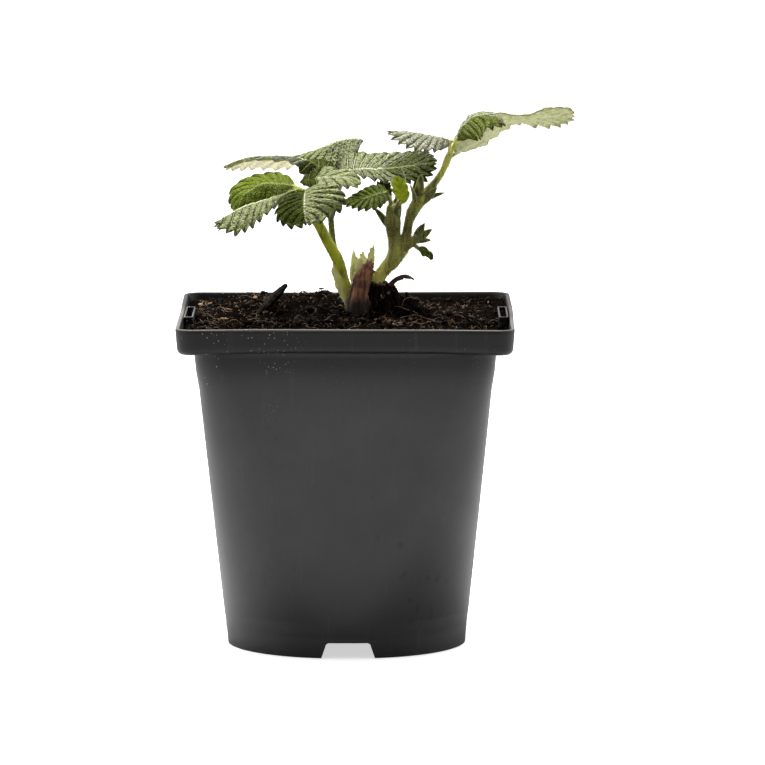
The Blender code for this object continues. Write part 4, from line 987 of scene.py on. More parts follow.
def soil_spots(count, draw, margin=2.0):
    """Random places on the soil, clear of the pot's wall and of the crown."""
    limit = RIM_HALF - 2 * BAND_WALL - margin
    round_corner = 6.0
    spots = draw.uniform(-limit, limit, (count * 2, 2))
    corner = np.clip(np.abs(spots) - (limit - round_corner), 0, None)
    on_soil = np.hypot(corner[:, 0], corner[:, 1]) < round_corner
    off_crown = np.hypot(spots[:, 0] - CROWN_X, spots[:, 1]) > CROWN_CLEAR
    return spots[on_soil & off_crown][:count]


# Heaps of lighter bits and of soil: middle, spread, number and lightness.
CRUMB_HEAPS = [
    ((18.5, -17.5), (2.6, 1.6), 90, 1.25),
    ((3.0, -17.0), (3.5, 1.6), 50, 0.8),
    ((30.0, -19.0), (4.0, 1.4), 30, 1.0),
    ((4.5, -11.6), (3.4, 0.7), 120, 0.32),
    ((0.0, -6.5), (1.6, 0.8), 40, 0.4),
]


def make_strewn(name, slot, material, parts, tones):
    """Many small shapes as one piece, each with a tone of its own."""
    tone = np.concatenate([np.full(len(points), tone) for (points, _), tone in zip(parts, tones)])
    vectors = {"tone": np.stack([tone] * 3, 1)}
    keep(build(name, *joined(parts), [material], vectors=vectors), slot)


def make_crumbs():
    draw = np.random.default_rng(5)
    parts, tones = [], []
    for count, low, high, fine in ((420, 0.5, 2.0, True), (5200, 0.2, 0.6, False)):
        for x, y in soil_spots(count, draw, 1.0):
            size = low + (high - low) * draw.uniform() ** 2.4
            points, faces = lump(draw, size, fine)
            z = crumbly(x, y) + size * draw.uniform(-0.1, 0.55)
            parts.append((points + (x, y, z), faces))
            tones.append(draw.uniform() ** (5.0 if fine else 1.8))
    for middle, spread, count, light in CRUMB_HEAPS:
        for x, y in draw.normal(middle, spread, (count, 2)):
            points, faces = lump(draw, draw.uniform(0.2, 0.75), True)
            z = crumbly(x, y) + draw.uniform(0.1, 0.9)
            parts.append((points * (1.5, 0.8, 0.8) + (x, y, z), faces))
            tones.append(light * draw.uniform(0.35, 1.0))
    make_strewn("soil_crumbs", "compost", CRUMBS, parts, tones)


def fibre(draw, x, y, length, radius, rise):
    """One root or straw that lies over the soil and dips into it at its ends."""
    turn = draw.uniform(0, math.pi)
    bend = draw.uniform(-0.35, 0.35) * length
    path = []
    for share in np.linspace(-0.5, 0.5, 6):
        px = x + share * length * math.cos(turn) - bend * (0.25 - share**2) * math.sin(turn)
        py = y + share * length * math.sin(turn) + bend * (0.25 - share**2) * math.cos(turn)
        px, py = np.clip(px, -61.0, 61.0), np.clip(py, -61.0, 61.0)
        bow = rise * (1 - (2 * share) ** 2) * draw.uniform(0.4, 1.2)
        path.append([px, py, crumbly(px, py) + radius + bow])
    path = np.array(path)
    path[1:-1, 2] = np.maximum(path[1:-1, 2], (path[:-2, 2] + path[2:, 2]) / 2)
    return tube(path, (0.7 * radius, radius, radius, 0.4 * radius), 4, 8 if length > 3 else 6)


# Roots and straws by length: number, shortest, longest and radius.
FIBRE_KINDS = ((1500, 0.8, 3.0, 0.07), (560, 3.0, 7.0, 0.07), (70, 7.0, 15.0, 0.085), (16, 2.0, 5.0, 0.22))
# Longer straws in plain sight: start, end and radius.
STRANDS = [
    ((17.0, -4.0), (42.0, -16.0), 0.17),
    ((21.0, -12.0), (46.0, -10.0), 0.14),
    ((19.0, -17.0), (33.0, -21.0), 0.15),
    ((-12.0, -10.0), (-1.0, -2.0), 0.12),
    ((-52.0, 30.0), (-38.0, 10.0), 0.15),
    ((-46.0, -10.0), (-24.0, -14.0), 0.14),
    ((-58.0, 8.0), (-44.0, -4.0), 0.13),
    ((13.0, -15.0), (22.0, -19.0), 0.15),
]


def make_fibres():
    draw = np.random.default_rng(8)
    parts, tones = [], []
    for count, low, high, radius in FIBRE_KINDS:
        for x, y in soil_spots(count, draw, 2.5):
            length = draw.uniform(low, high)
            thick = radius * draw.uniform(0.6, 1.4)
            parts.append(fibre(draw, x, y, length, thick, draw.uniform(0.1, 0.9)))
            tones.append(draw.uniform(0.05, 1.0) ** 1.3)
    for start, end, radius in STRANDS:
        middle = [(start[k] + end[k]) / 2 + 0.06 * (end[1 - k] - start[1 - k]) for k in range(2)]
        course = smooth_path([(*start, 0.0), (*middle, 0.0), (*end, 0.0)], 9)
        path = [(x, y, crumbly(x, y) + 0.9) for x, y, _ in course]
        parts.append(tube(path, (radius, radius, 0.6 * radius), 5, 26))
        tones.append(0.8)
    make_strewn("soil_fibres", "pale_wood", ROOTS, parts, tones)


def shard(centre, size, turn, tilt, seed, count=34, sides=22):
    """A bark or wood chip: a bent sliver with uneven ends and torn sides."""
    draw = np.random.default_rng(seed)
    turns = turns_of(sides)
    rings = []
    ragged = draw.uniform(-1, 1, (count, sides))
    splits = draw.uniform(-1, 1, sides)
    for row, end in enumerate(np.linspace(-1, 1, count)):
        narrow = (1.0 - 0.5 * abs(end) ** 3) * (1 if abs(end) < 0.99 else 0.6)
        swell = value_noise(end * 3.1, 0.0, 1.0, seed + 30)
        wide = (1 + 0.12 * ragged[row] + 0.3 * splits * (0.6 + 0.8 * row / count)) * (1 + 0.25 * swell)
        flat = np.abs(np.cos(turns)) ** 0.6 * np.sign(np.cos(turns))
        tall = np.abs(np.sin(turns)) ** 0.8 * np.sign(np.sin(turns))
        x = end * size[0] / 2 + 0.05 * size[0] * ragged[row] * (abs(end) > 0.9)
        spread = narrow * wide / 2
        rings.append(np.stack([x, flat * spread * size[1], tall * spread * size[2]], 1))
    points = np.vstack(rings)
    cos_tilt, sin_tilt = math.cos(tilt), math.sin(tilt)
    cos_turn, sin_turn = math.cos(turn), math.sin(turn)
    x = points[:, 0] * cos_tilt - points[:, 2] * sin_tilt
    z = points[:, 0] * sin_tilt + points[:, 2] * cos_tilt
    turned = np.stack([x * cos_turn - points[:, 1] * sin_turn, x * sin_turn + points[:, 1] * cos_turn, z], 1)
    return turned + np.array(centre), bridge(rings)


# Wood on the soil: node, place, lift, size, turn, tilt and kind.
CHIPS = [
    ("bark_splinter", (-30.0, 20.0), 4.0, (18.0, 4.2, 2.0), 22, 44, "bark"),
    ("pale_chip_left", (-56.5, 50.0), -0.4, (8.5, 3.4, 1.4), 8, 4, "pale_wood"),
    ("pale_chip_middle", (-37.0, 42.0), 0.9, (4.5, 2.4, 1.2), 70, 35, "pale_wood"),
    ("pale_chip_front", (-48.0, -2.0), 1.1, (4.0, 2.0, 1.2), -20, 5, "pale_wood"),
    ("tan_chip_crown", (15.5, -13.0), 0.6, (6.5, 3.0, 1.5), 30, -12, "tan_wood"),
    ("tan_chip_right", (31.5, -15.5), -0.1, (5.5, 2.6, 1.3), -25, 8, "tan_wood"),
    ("bark_chip_right", (44.0, 8.0), -1.4, (7.0, 3.0, 1.4), 40, 6, "bark"),
    ("bark_chip_back", (24.0, 30.0), 0.7, (6.0, 2.6, 1.4), -60, 15, "bark"),
]


def make_chips():
    skins = {"bark": (BARK, 0.35), "pale_wood": (WOOD, 0.7), "tan_wood": (TAN, 0.4)}
    for seed, (name, (x, y), lift, size, turn, tilt, kind) in enumerate(CHIPS):
        centre = (x, y, soil_height(x, y) + lift)
        points, faces = shard(centre, size, math.radians(turn), math.radians(tilt), seed)
        material, tone = skins[kind]
        uneven = value_noise(points[:, 0] * 2.2 + points[:, 2] * 2.2, points[:, 1] * 5.0, 1.0, seed + 70)
        vectors = {"tone": np.stack([tone + 0.45 * uneven] * 3, 1)}
        keep(build(name + "_fine", points, faces, [material], vectors=vectors), kind, name)


def make_bark_bits():
    """Bits of bark strewn over the soil, with a heap of them by the splinter."""
    draw = np.random.default_rng(41)
    strewn = [(x, y, draw.uniform(1.2, 4.5), draw.uniform(-11, 11)) for x, y in soil_spots(90, draw, 3.0)]
    heap = draw.normal((-31, 20), (2.6, 2.0), (16, 2))
    strewn += [(x, y, draw.uniform(2.5, 6.5), draw.uniform(15, 60)) for x, y in heap]
    parts, tones = [], []
    for number, (x, y, length, degrees) in enumerate(strewn):
        size = (length, length * draw.uniform(0.2, 0.45), length * draw.uniform(0.1, 0.2))
        tilt = math.radians(degrees)
        lift = 0.3 + 0.3 * length * math.sin(abs(tilt))
        turn = draw.uniform(-0.4, 1.2)
        parts.append(shard((x, y, crumbly(x, y) + lift), size, turn, tilt, 100 + number, 9, 8))
        tones.append(draw.uniform() ** 2.0)
    make_strewn("bark_bits", "bark", BITS, parts, tones)


# Blades

def profile(x, shape):
    base, tip = shape
    widest = base / (base + tip)
    top = widest**base * (1 - widest) ** tip
    full = np.clip(x, 1e-9, 1) ** base * np.clip(1 - x, 0, 1) ** tip / top
    return full * np.tanh(np.clip(x, 0, 1) / 0.03)


def tooth_height(share):
    rising = np.sin(0.5 * math.pi * np.clip(share / TOOTH_TIP, 0, 1)) ** 0.8
    falling = np.clip((1 - share) / (1 - TOOTH_TIP), 0, 1) ** 0.75
    return np.where(share < TOOTH_TIP, rising, falling)


def half_blade(length, width, shape, teeth, bite, seed):
    """One half laid flat, row by row: rib place, smooth edge, toothed edge, tooth count."""
    if teeth:
        toothed_count = [number + share for number in range(teeth) for share in ROW_PLACES] + [teeth]
        slope = (LAST_TOOTH - FIRST_TOOTH) / teeth
        base_count = (np.linspace(0.03, FIRST_TOOTH, BASE_ROWS, endpoint=False) - FIRST_TOOTH) / slope
        count = np.concatenate([base_count, toothed_count])
        phase = FIRST_TOOTH + count * slope
        uneven = 1 + 0.22 * np.random.default_rng(seed).uniform(-1, 1, teeth + 1)
        number = np.clip(count.astype(int), 0, teeth - 1)
        height = np.where((count >= 0) & (count < teeth), tooth_height(count - number), 0.0) * uneven[number]
        size = bite * np.clip(0.55 + 0.9 * (phase - FIRST_TOOTH) / (LAST_TOOTH - FIRST_TOOTH), 0, 1)
    else:
        phase = np.linspace(0.03, 0.94, 54 if bite else 22)
        count = np.full(len(phase), NO_TEETH)
        height = value_noise(phase * 24, 0.0, 1.0, seed) + 0.6 * value_noise(phase * 60, 0.0, 1.0, seed + 50)
        size = np.full(len(phase), bite)
    step = 1e-4
    x = (1 - np.cos(math.pi * phase)) / 2
    ahead = (1 - np.cos(math.pi * (phase + step))) / 2
    edge = np.stack([x * length, width * profile(x, shape)], 1)
    tangent = unit(np.stack([ahead * length, width * profile(ahead, shape)], 1) - edge)
    outward = np.stack([-tangent[:, 1], tangent[:, 0]], 1)
    toothed = edge + (outward + 0.5 * tangent) * (height * size)[:, None]
    rib = length * x * (1 - RIB_LEAN * profile(x, LEAF_SHAPE))
    return rib, edge, toothed, count


def from_side_vein(count):
    """How far a tooth count lies from the nearest side vein, from -0.5 to 0.5."""
    return np.mod(count - TOOTH_TIP + 0.5, 1) - 0.5


def blade_sheet(spec, seed):
    """The middle surface of a leaflet, its triangles, and per point: tooth count, signed share from the rib
    to the rim, and the reach from the rib in millimetres."""
    path = smooth_path(spec["path"], PATH_SAMPLES)
    length = np.linalg.norm(np.diff(path, axis=0), axis=1).sum()
    place = np.linspace(0, 1, PATH_SAMPLES)
    ahead = unit(np.gradient(path, axis=0))
    look = np.stack([along([face[k] for face in spec["face"]], place) for k in range(3)], 1)
    up = unit(look - (look * ahead).sum(1, keepdims=True) * ahead)
    teeth = spec.get("teeth", 0)
    bite = spec.get("bite", 0.0)
    columns = spec.get("columns", LEAF_COLUMNS if teeth else BRACT_COLUMNS)
    pleat = spec.get("pleat", PLEAT)
    shapes = spec.get("shape", LEAF_SHAPE)
    shapes = shapes if isinstance(shapes[0], tuple) else (shapes, shapes)
    halves = [half_blade(length, spec["width"][k], shapes[k], teeth, bite, seed + k) for k in range(2)]

    def bend(run, reach, edge_reach, half, inner, count):
        at = np.clip(run / length, 0, 1)
        fold = np.radians(along(spec["fold"][half], at))
        curl = np.radians(along(spec["curl"][half], at))
        share = reach / np.maximum(edge_reach, 0.2)
        across = np.zeros_like(reach)
        lift = np.zeros_like(reach)
        for step in range(CURL_STEPS):
            angle = fold + curl * share * (step + 0.5) / CURL_STEPS
            across = across + np.cos(angle) * reach / CURL_STEPS
            lift = lift + np.sin(angle) * reach / CURL_STEPS
        ridge = pleat * (0.75 - 1.75 * np.exp(-((from_side_vein(count) / 0.2) ** 2)))
        lift = lift + ridge * np.clip(inner * 1.6, 0, 1) * np.clip(1 + count / 2.5, 0, 1)
        side = 1 if half else -1
        beside = side * reach + 40
        if teeth:
            lift = lift + 0.3 * value_noise(run, beside, 6.5, seed) * np.clip(inner * 2, 0, 1)
            for height, cell, step in LEAF_RELIEF:
                lift = lift + height * value_noise(run, beside, cell, seed + step)
        lift = lift + spec.get("wrinkle", 0.0) * value_noise(run * 0.16 + 7, beside, 1.0, seed + 9)
        forward = unit(read_path(ahead, place, at))
        upward = unit(read_path(up, place, at))
        here = read_path(path, place, at) + forward * np.maximum(run - length, 0)[:, None]
        return here + side * across[:, None] * np.cross(forward, upward) + lift[:, None] * upward

    rib, edge, _, count = halves[1]
    zero = np.zeros_like(rib)
    rows = len(rib)
    width = 2 * columns + 1
    points = np.zeros((rows, width, 3))
    facts = np.zeros((rows, width, 3))
    points[:, columns] = bend(rib, zero, edge[:, 1], 1, zero, count)
    facts[:, columns, 0] = count
    for half, side in ((0, -1), (1, 1)):
        rib, edge, toothed, count = halves[half]
        for column in range(1, columns + 1):
            inner = (column / columns) ** 1.15
            flat = np.stack([rib, zero], 1) * (1 - inner) + edge * inner
            flat = flat + (toothed - edge) * np.clip((inner - 0.6) / 0.4, 0, 1) ** 1.2
            bent = bend(flat[:, 0], flat[:, 1], edge[:, 1], half, np.full(rows, inner), count)
            points[:, columns + side * column] = bent
            facts[:, columns + side * column] = np.stack([count, np.full(rows, side * inner), flat[:, 1]], 1)
    one = np.ones(1)
    tip = bend(one * (length + 0.9 * bite), 0 * one, one, 1, 0 * one, one * NO_TEETH)
    points = np.vstack([points.reshape(-1, 3), tip])
    facts = np.vstack([facts.reshape(-1, 3), [(count[-1], 0, 0)]])
    faces = []
    for row in range(rows - 1):
        for column in range(width - 1):
            a = row * width + column
            b, c, d = a + 1, a + width, a + width + 1
            faces += [(a, b, c), (b, d, c)] if column < columns else [(a, b, d), (a, d, c)]
    last = (rows - 1) * width
    faces += [(last + column, last + column + 1, len(points) - 1) for column in range(width - 1)]
    return points, np.array(faces), facts, max(length / max(teeth, 1), 1.0)


def make_blade(name, spec, skins, tones, seed):
    """A leaflet as a closed thin body with a rib below. Its skins are left half, right half and underside,
    and for some a patch of the upper side with the tooth counts that it runs between."""
    points, faces, facts, spacing = blade_sheet(spec, seed)
    corners = points[faces]
    area = np.cross(corners[:, 1] - corners[:, 0], corners[:, 2] - corners[:, 0])
    normal = np.zeros_like(points)
    for k in range(3):
        np.add.at(normal, faces[:, k], area)
    normal = unit(normal)
    count, inner, reach = facts.T
    thick = spec.get("thick", BLADE)
    rim = np.clip((np.abs(inner) - RIM_FROM) / (1 - RIM_FROM), 0, 1)
    half = (thick * (1 - rim) + min(thick, RIM_BLADE) * rim)[:, None] / 2
    below = np.zeros(len(points))
    if spec.get("teeth"):
        from_vein = from_side_vein(count) * spacing
        below = VEIN * np.exp(-((from_vein / VEIN_WIDTH) ** 2)) * (1 - rim)
        taper = np.clip(1 - np.linspace(0, 1, len(points)), 0.25, 1)
        below = below + RIB * taper * np.exp(-((reach / RIB_WIDTH) ** 2))
    top = points + normal * half
    bottom = points - normal * (half + below[:, None])
    total = len(points)
    edges = set()
    for a, b, c in faces.tolist():
        edges.update(((a, b), (b, c), (c, a)))
    walls = []
    for start, end in sorted(edges):
        if (end, start) not in edges:
            walls.append((end, start, start + total, end + total))
    under = faces[:, ::-1] + total
    all_faces = [*faces.tolist(), *under.tolist(), *walls]
    materials = list(dict.fromkeys(skins[:4]))
    left, right, lower = (materials.index(skin) for skin in skins[:3])
    upper = [left if share < 0 else right for share in inner[faces].mean(1)]
    if len(skins) > 3:
        patch, (first, last) = materials.index(skins[3]), skins[4]
        places = count[faces].mean(1)
        upper = [patch if first < place < last else slot for place, slot in zip(places, upper)]
    slots = upper + [lower] * len(faces) + [right] * len(walls)
    # Painted light and shade: the two halves' tones and the change toward the tip lighten or darken the
    # blade.
    right_share = 0.5 + 0.5 * np.tanh(inner / 0.06)
    tone = tones[0] * (1 - right_share) + tones[1] * right_share + tones[2] * np.linspace(0, 1, total) ** 2
    blade = np.stack([count, inner, tone], 1)
    vectors = {"blade": np.vstack([blade, blade])}
    obj = build(name, np.vstack([top, bottom]), all_faces, materials, slots, vectors)
    return obj, points, facts


FRONT_LEAFLETS = {
    "front_leaflet_left": dict(
        path=[(-21.5, -10, 177), (-30, -13, 175), (-40, -17, 172), (-49.5, -20, 167)],
        face=[(-0.15, -0.6, 0.8), (-0.2, -0.65, 0.75), (-0.3, -0.7, 0.6)],
        width=(8.6, 8.5), fold=((-8, -8, -5), (-80, -84, -76)), curl=((-10, -16, -16), (-12,)),
        teeth=8, bite=1.9, shape=((1.35, 0.42), (0.9, 0.42)),
    ),
    "front_leaflet_back": dict(
        path=[
            (-19.6, -4.8, 179), (-25, -4.8, 180), (-32, -5.5, 180), (-36.5, -6, 178), (-40, -7, 175),
            (-42, -8, 170),
        ],
        face=[(0, -0.28, 0.95), (-0.2, -0.38, 0.9), (-0.72, -0.62, 0.3)],
        width=(9.0, 10.0), fold=((-42, -36, -22), (16, 4, 0)), curl=((-20, -24, -26), (-8, -14, -10)),
        teeth=8, bite=1.5, shape=((0.45, 0.6), (0.6, 0.48)),
    ),
    "front_leaflet_right": dict(
        path=[(-15.5, -12, 178.5), (-16.2, -17, 176), (-16.2, -22, 171.5), (-15.5, -26, 167)],
        face=[(-0.05, -0.45, 0.88), (0, -0.65, 0.75), (0.05, -0.85, 0.5)],
        width=(15.8, 10.2), fold=((42, 30, 14), (2, 0, -4)), curl=((-26, -34, -36), (-28, -26, -25)),
        teeth=7, bite=2.0, shape=((0.66, 0.66), (0.9, 0.5)),
    ),
}
BACK_LEAFLETS = {
    "back_leaflet_left": dict(
        path=[
            (-5.2, 12.6, 181.8), (-11, 12.6, 185.2), (-19.5, 12.6, 188.7), (-30.5, 12, 189.2),
            (-39.5, 13, 188), (-47, 14, 185),
        ],
        face=[(-0.3, -0.2, 0.9), (0, -0.08, 1), (-0.1, 0, 1)],
        width=(8.2, 7.4), fold=((-46, 2, 10), (30, -46, -42)), curl=((-10, -6, -6), (-10, -14, -10)),
        teeth=8, bite=1.4, shape=((0.35, 0.5), (0.25, 0.55)),
    ),
    "back_leaflet_top": dict(
        path=[
            (6.5, 20.5, 194.8), (2.8, 21.1, 195.5), (-2.5, 22.5, 194.4), (-9.5, 24.5, 191.7),
            (-15, 26.5, 189.5), (-20.5, 27.5, 187.8),
        ],
        face=[(0.1, -0.6, 0.75), (0.1, -0.65, 0.75), (0, -0.65, 0.8), (-0.1, -0.6, 0.8)],
        width=(12.2, 8.0), fold=((-6, -6, -4), (-42,)), curl=((-8, -10, -10), (-10, -15, -15)),
        teeth=8, bite=1.6, shape=((0.2, 0.6), (0.5, 0.6)), stalk_bow=(1.5, 7.0, -2.8),
    ),
    "back_leaflet_right": dict(
        path=[(-3, 7, 183.5), (6, 6, 184.5), (18, 5, 185), (28, 4, 186.5), (34, 3, 187)],
        face=[(0, -0.4, 0.9), (0, -0.4, 0.9), (0, -0.5, 0.85), (0.25, -0.85, 0.55)],
        width=(12.0, 8.2), fold=((26, 7, 2, -10), (2, 0, 6, 12)),
        curl=((-10, -12, -16), (-14, -16, -26)), teeth=9, bite=1.6, shape=((0.28, 0.46), (1.1, 0.48)),
    ),
    "back_leaflet_small": dict(
        path=[
            (-17.8, 2, 180), (-13, 1.2, 181.2), (-8.5, -0.6, 182), (-4.5, -2.5, 182.3), (0.5, -4, 182),
            (4.5, -6, 180),
        ],
        face=[(0, -0.35, 0.94), (0.1, -0.4, 0.9), (0.2, -0.45, 0.85)],
        width=(5.2, 5.4), fold=((10, 34, 8, 0), (-8,)), stalk_end=(-13, 1.4, 180.2),
        curl=((-10,), (-25,)), teeth=5, bite=1.2, shape=(0.45, 0.45),
    ),
}
UPPER_LEAFLETS = {
    "upper_leaflet_left": dict(
        path=[(41.5, -1, 196.2), (37, -2.5, 198), (30, -4, 199.2), (24, -5, 199.9), (17.5, -6, 200.4)],
        face=[(0, -0.1, 0.98), (0, -0.18, 0.98), (0, -0.2, 0.98)],
        width=(6.8, 7.0), fold=((-60, -40, -22), (-60, -22, -10)),
        curl=((-10, -14, -20), (-10, -20, -10)), teeth=7, bite=1.7, shape=((0.5, 0.5), (0.4, 1.3)),
    ),
    "upper_leaflet_right": dict(
        path=[(42, 0, 191), (46.5, 1, 193.5), (56, 3, 199), (65.5, 5, 204), (75.5, 7, 205), (88, 8, 205)],
        face=[(-0.3, 0.4, 0.85), (-0.3, 0.4, 0.85), (-0.1, 0.45, 0.9), (0, 0.5, 0.85), (0, 0.55, 0.83)],
        width=(8.5, 11.4), fold=((-12, -18, 8, 14, 4, 0), (64, 50, 10, -13, -6, 0)),
        curl=((-10,), (20, 10, -10, -6, 0)), teeth=9, bite=1.4,
        shape=((0.9, 0.45), (0.46, 0.36)),
    ),
    "upper_leaflet_middle": dict(
        path=[
            (43, -6.6, 197), (44.8, -8, 202), (48.4, -9.2, 205.8), (53.2, -9.9, 207.3),
            (57.6, -10.9, 206.6), (60.6, -12.2, 204),
        ],
        face=[(-0.5, -0.5, 0.7), (-0.2, -0.6, 0.8), (0.3, -0.6, 0.7)],
        width=(4.0, 10.0), fold=((-20,), (-14, -10, 0)),
        curl=((-10,), (-10,)), teeth=6, bite=1.4, shape=(0.7, 0.6),
    ),
}
YOUNG_LEAFLETS = {
    "young_leaflet_left": dict(
        path=[(16.3, -4.5, 177), (11.5, -6, 175.8), (6, -8, 174.4), (-0.5, -10, 173)],
        face=[(0, -0.75, 0.7), (0, -0.75, 0.7), (-0.1, -0.75, 0.7)],
        width=(5.2, 4.2), fold=((-8, -8, 0), (0,)), curl=((-10,), (10, 0, 0)), teeth=7,
        bite=1.2, shape=((0.4, 0.7), (0.35, 1.0)),
    ),
    "young_leaflet_bright": dict(
        path=[(22.4, -7, 172.5), (22, -8.5, 175.5), (20.6, -9.5, 179.5), (19.7, -9, 182.6)],
        face=[(-0.1, -1, 0.1), (0, -1, 0.1), (0, -1, 0.2)],
        width=(2.7, 2.7), fold=((8,), (8,)), curl=((10, 10, 0), (10, 10, 0)), teeth=4,
        bite=0.8, shape=(0.7, 0.6),
    ),
    "young_leaflet_dark": dict(
        path=[(17.2, -1, 174), (16.2, -0.2, 176), (15, 0.8, 178.2), (15.6, 1.4, 180.4)],
        face=[(-0.2, -1, 0.2), (-0.1, -1, 0.2), (0, -1, 0.1)],
        width=(2.8, 2.2), fold=((-10, -10, -5), (20, 20, 10)), curl=((-10, -10, 0), (10, 10, 0)),
        teeth=5, bite=0.9, shape=(0.7, 0.6),
    ),
    "pendant_leaflet": dict(
        path=[(27.5, -3.5, 155), (29.7, -5, 154.3), (31.8, -6, 152.7), (33.6, -7, 150.7)],
        face=[(0.3, -0.8, 0.5), (0.3, -0.8, 0.5), (0.4, -0.8, 0.5)],
        width=(1.6, 1.8), fold=((0,), (0,)), curl=((-15,), (-15,)), teeth=2,
        bite=0.3, shape=(0.7, 0.6),
    ),
}

# Stems: path, radii from base to tip, sides, rings, unevenness and seed.
FRONT_PETIOLE = (
    [
        (2, -4, 121), (1, -4, 128), (0.4, -4, 134.5), (-0.5, -5, 142.5), (-3.1, -5.7, 150),
        (-7.2, -6.4, 157.5), (-11.2, -8, 165.5), (-18.5, -9, 178),
    ],
    (1.0, 0.9, 1.45, 2.2, 2.05, 1.95, 1.5), 20, 80, 0.05, 2,
)
BACK_PETIOLE = (
    [
        (6, 8, 121), (4.5, 7, 129), (1.2, 6.5, 137), (-1.0, 7, 143), (-3.2, 7, 149), (-5.2, 8, 156),
        (-6.6, 8, 170.5), (-8.5, 7, 180),
    ],
    (1.2, 1.5, 1.4, 1.2, 1.2, 1.1), 16, 80, 0.08, 4,
)
STALK = (
    [(12.5, 0, 135.5), (12.5, 0, 142), (15.6, 0, 146.6), (18.4, -1, 149.9), (20.4, -1, 154)],
    (2.6, 2.7, 2.4, 2.9, 3.7), 20, 40, 0.06, 5,
)
LEFT_FORK = (
    [(19.8, -1, 153), (18.6, -2, 159.5), (18.2, -3, 165), (17.8, -3, 170.5)],
    (3.2, 2.5, 3.0, 2.2), 18, 30, 0.07, 6,
)
RIGHT_FORK = (
    [(21.5, -1, 153.5), (23.6, -1, 160), (24.6, -1, 165.4), (26.4, -1, 169.5), (29, -1, 174)],
    (2.8, 1.9, 1.7, 2.3, 2.6), 18, 36, 0.07, 7,
)
UPPER_PETIOLE = (
    [(28.5, -1, 172.5), (32.2, -1, 177), (36, -1, 182), (38.3, -1, 186), (39.8, -1, 190)],
    (2.4, 2.0, 1.35, 1.2, 1.4), 18, 36, 0.05, 8,
)
SIDE_STEM = (
    [(22.5, -1.5, 155.0), (25, -2.5, 156.5), (27.5, -3, 158.5)],
    (2.4, 1.7, 1.5), 14, 16, 0.05, 9,
)
BUD_CORE = (
    [(5.4, 2.2, 121), (5.4, 2.2, 130), (5.4, 2, 138), (5.8, 2, 147)],
    (1.4, 2.1, 2.6, 2.4), 20, 30, 0.04, 15,
)
AWN = (
    [(22.8, -7.6, 177.5), (23.2, -8.2, 181.5), (22.0, -8.2, 185.5), (20.2, -7.8, 188.3)],
    (0.2, 0.17, 0.13, 0.06), 6, 16,
)
LEAFLET_STALK_RADII = (0.95, 0.8, 0.75)
HAIRS_FROM = 128.0
RIM_HAIRS = 260
YOUNG_RIM_HAIRS = 90


def bract(base, tip, half_width, look, bow, thick=0.45):
    """A small pointed leaf without teeth, bowed away from the straight line between its ends."""
    start, end = np.array(base, float), np.array(tip, float)
    middle = (start + end) / 2 + bow * unit(np.array(look, float))
    return dict(
        path=[start, middle, end], face=[look, look], width=(half_width, half_width),
        fold=((6,), (6,)), curl=((-42,), (-42,)), pleat=0.0, shape=(0.45, 0.75), thick=thick,
    )


TOP_BRACTS = [
    bract((27.3, -2.2, 171), (29.3, -5.8, 184), 2.0, (-0.2, -1, 0.1), -0.6),
    bract((26.5, -1.5, 171), (25, -5.5, 179.5), 1.8, (-0.9, -0.6, 0.2), -0.6),
    bract((29.5, -2.5, 172), (35.8, -4.2, 182.5), 1.6, (0.2, -1, -0.2), -0.5),
    bract((29.5, -2.5, 172), (35.3, -5.2, 178.5), 1.5, (0.2, -1, 0.4), -0.4),
    bract((29.5, -1.5, 173), (38.2, -3.2, 176.3), 1.2, (0.2, -0.8, 0.7), 0.8),
    bract((27.5, 0.5, 171), (27.5, 2.5, 182), 1.9, (0, 1, 0.1), -0.6),
]
SIDE_BRACTS = [
    bract((26.5, -3, 157.5), (30.5, -4, 164.5), 1.7, (-0.6, -0.8, 0.3), -0.3),
    bract((26.8, -3, 157.8), (33.3, -5, 162.2), 1.7, (-0.2, -1, 0.5), -0.3),
    bract((27, -3, 157.5), (33, -5.2, 158), 1.3, (0, -0.8, 0.7), 0.2),
    bract((26.8, -2.5, 157.5), (29.5, 0.5, 163.5), 1.5, (0.2, 1, 0.2), -0.3),
]
YOUNG_BRACTS = [
    bract((16, -3, 163), (11, -4.8, 170.6), 1.7, (-0.6, -0.8, -0.2), -0.4),
    bract((19.5, -4.5, 165), (20.8, -6.5, 174), 1.8, (0.3, -1, 0.1), -0.4),
    bract((18.5, -0.5, 165), (19.5, 1.5, 174), 2.0, (0, 1, 0.1), -0.4),
]
TORN = dict(bite=0.5, wrinkle=0.35, columns=14, shape=(0.3, 0.5))
BUD_SHEATHS = [
    {**bract((4.6, 1.6, 132), (3.0, 0.5, 153), 2.8, (-0.7, -0.8, 0), 1.0, 0.4), **TORN},
    {**bract((5.8, 3.4, 133), (6.5, 3.4, 152.5), 2.6, (0.1, 1, 0), 0.6, 0.4), **TORN},
    {**bract((6.2, 0.4, 133), (10.6, -1.8, 155.5), 2.0, (0.4, -0.9, 0), 0.9, 0.4), **TORN},
    {**bract((4.4, -0.4, 133), (5.6, -2.2, 151), 2.4, (-0.2, -1, 0.1), 0.7, 0.35), **TORN},
]
BROWN_SHEATH = dict(
    path=[(5, -8.6, 121), (4.4, -9.4, 129), (4.6, -9.3, 135), (6.2, -8, 142), (10, -5.6, 150.5)],
    face=[(-0.1, -1, 0), (-0.1, -1, 0.1), (-0.2, -1, 0.4)],
    width=(4.9, 4.9), fold=((0,), (0,)), curl=((-42, -42, -30), (-42, -42, -30)), pleat=0.0,
    shape=(0.2, 0.5), thick=0.5, columns=26, bite=0.75, wrinkle=0.4,
)
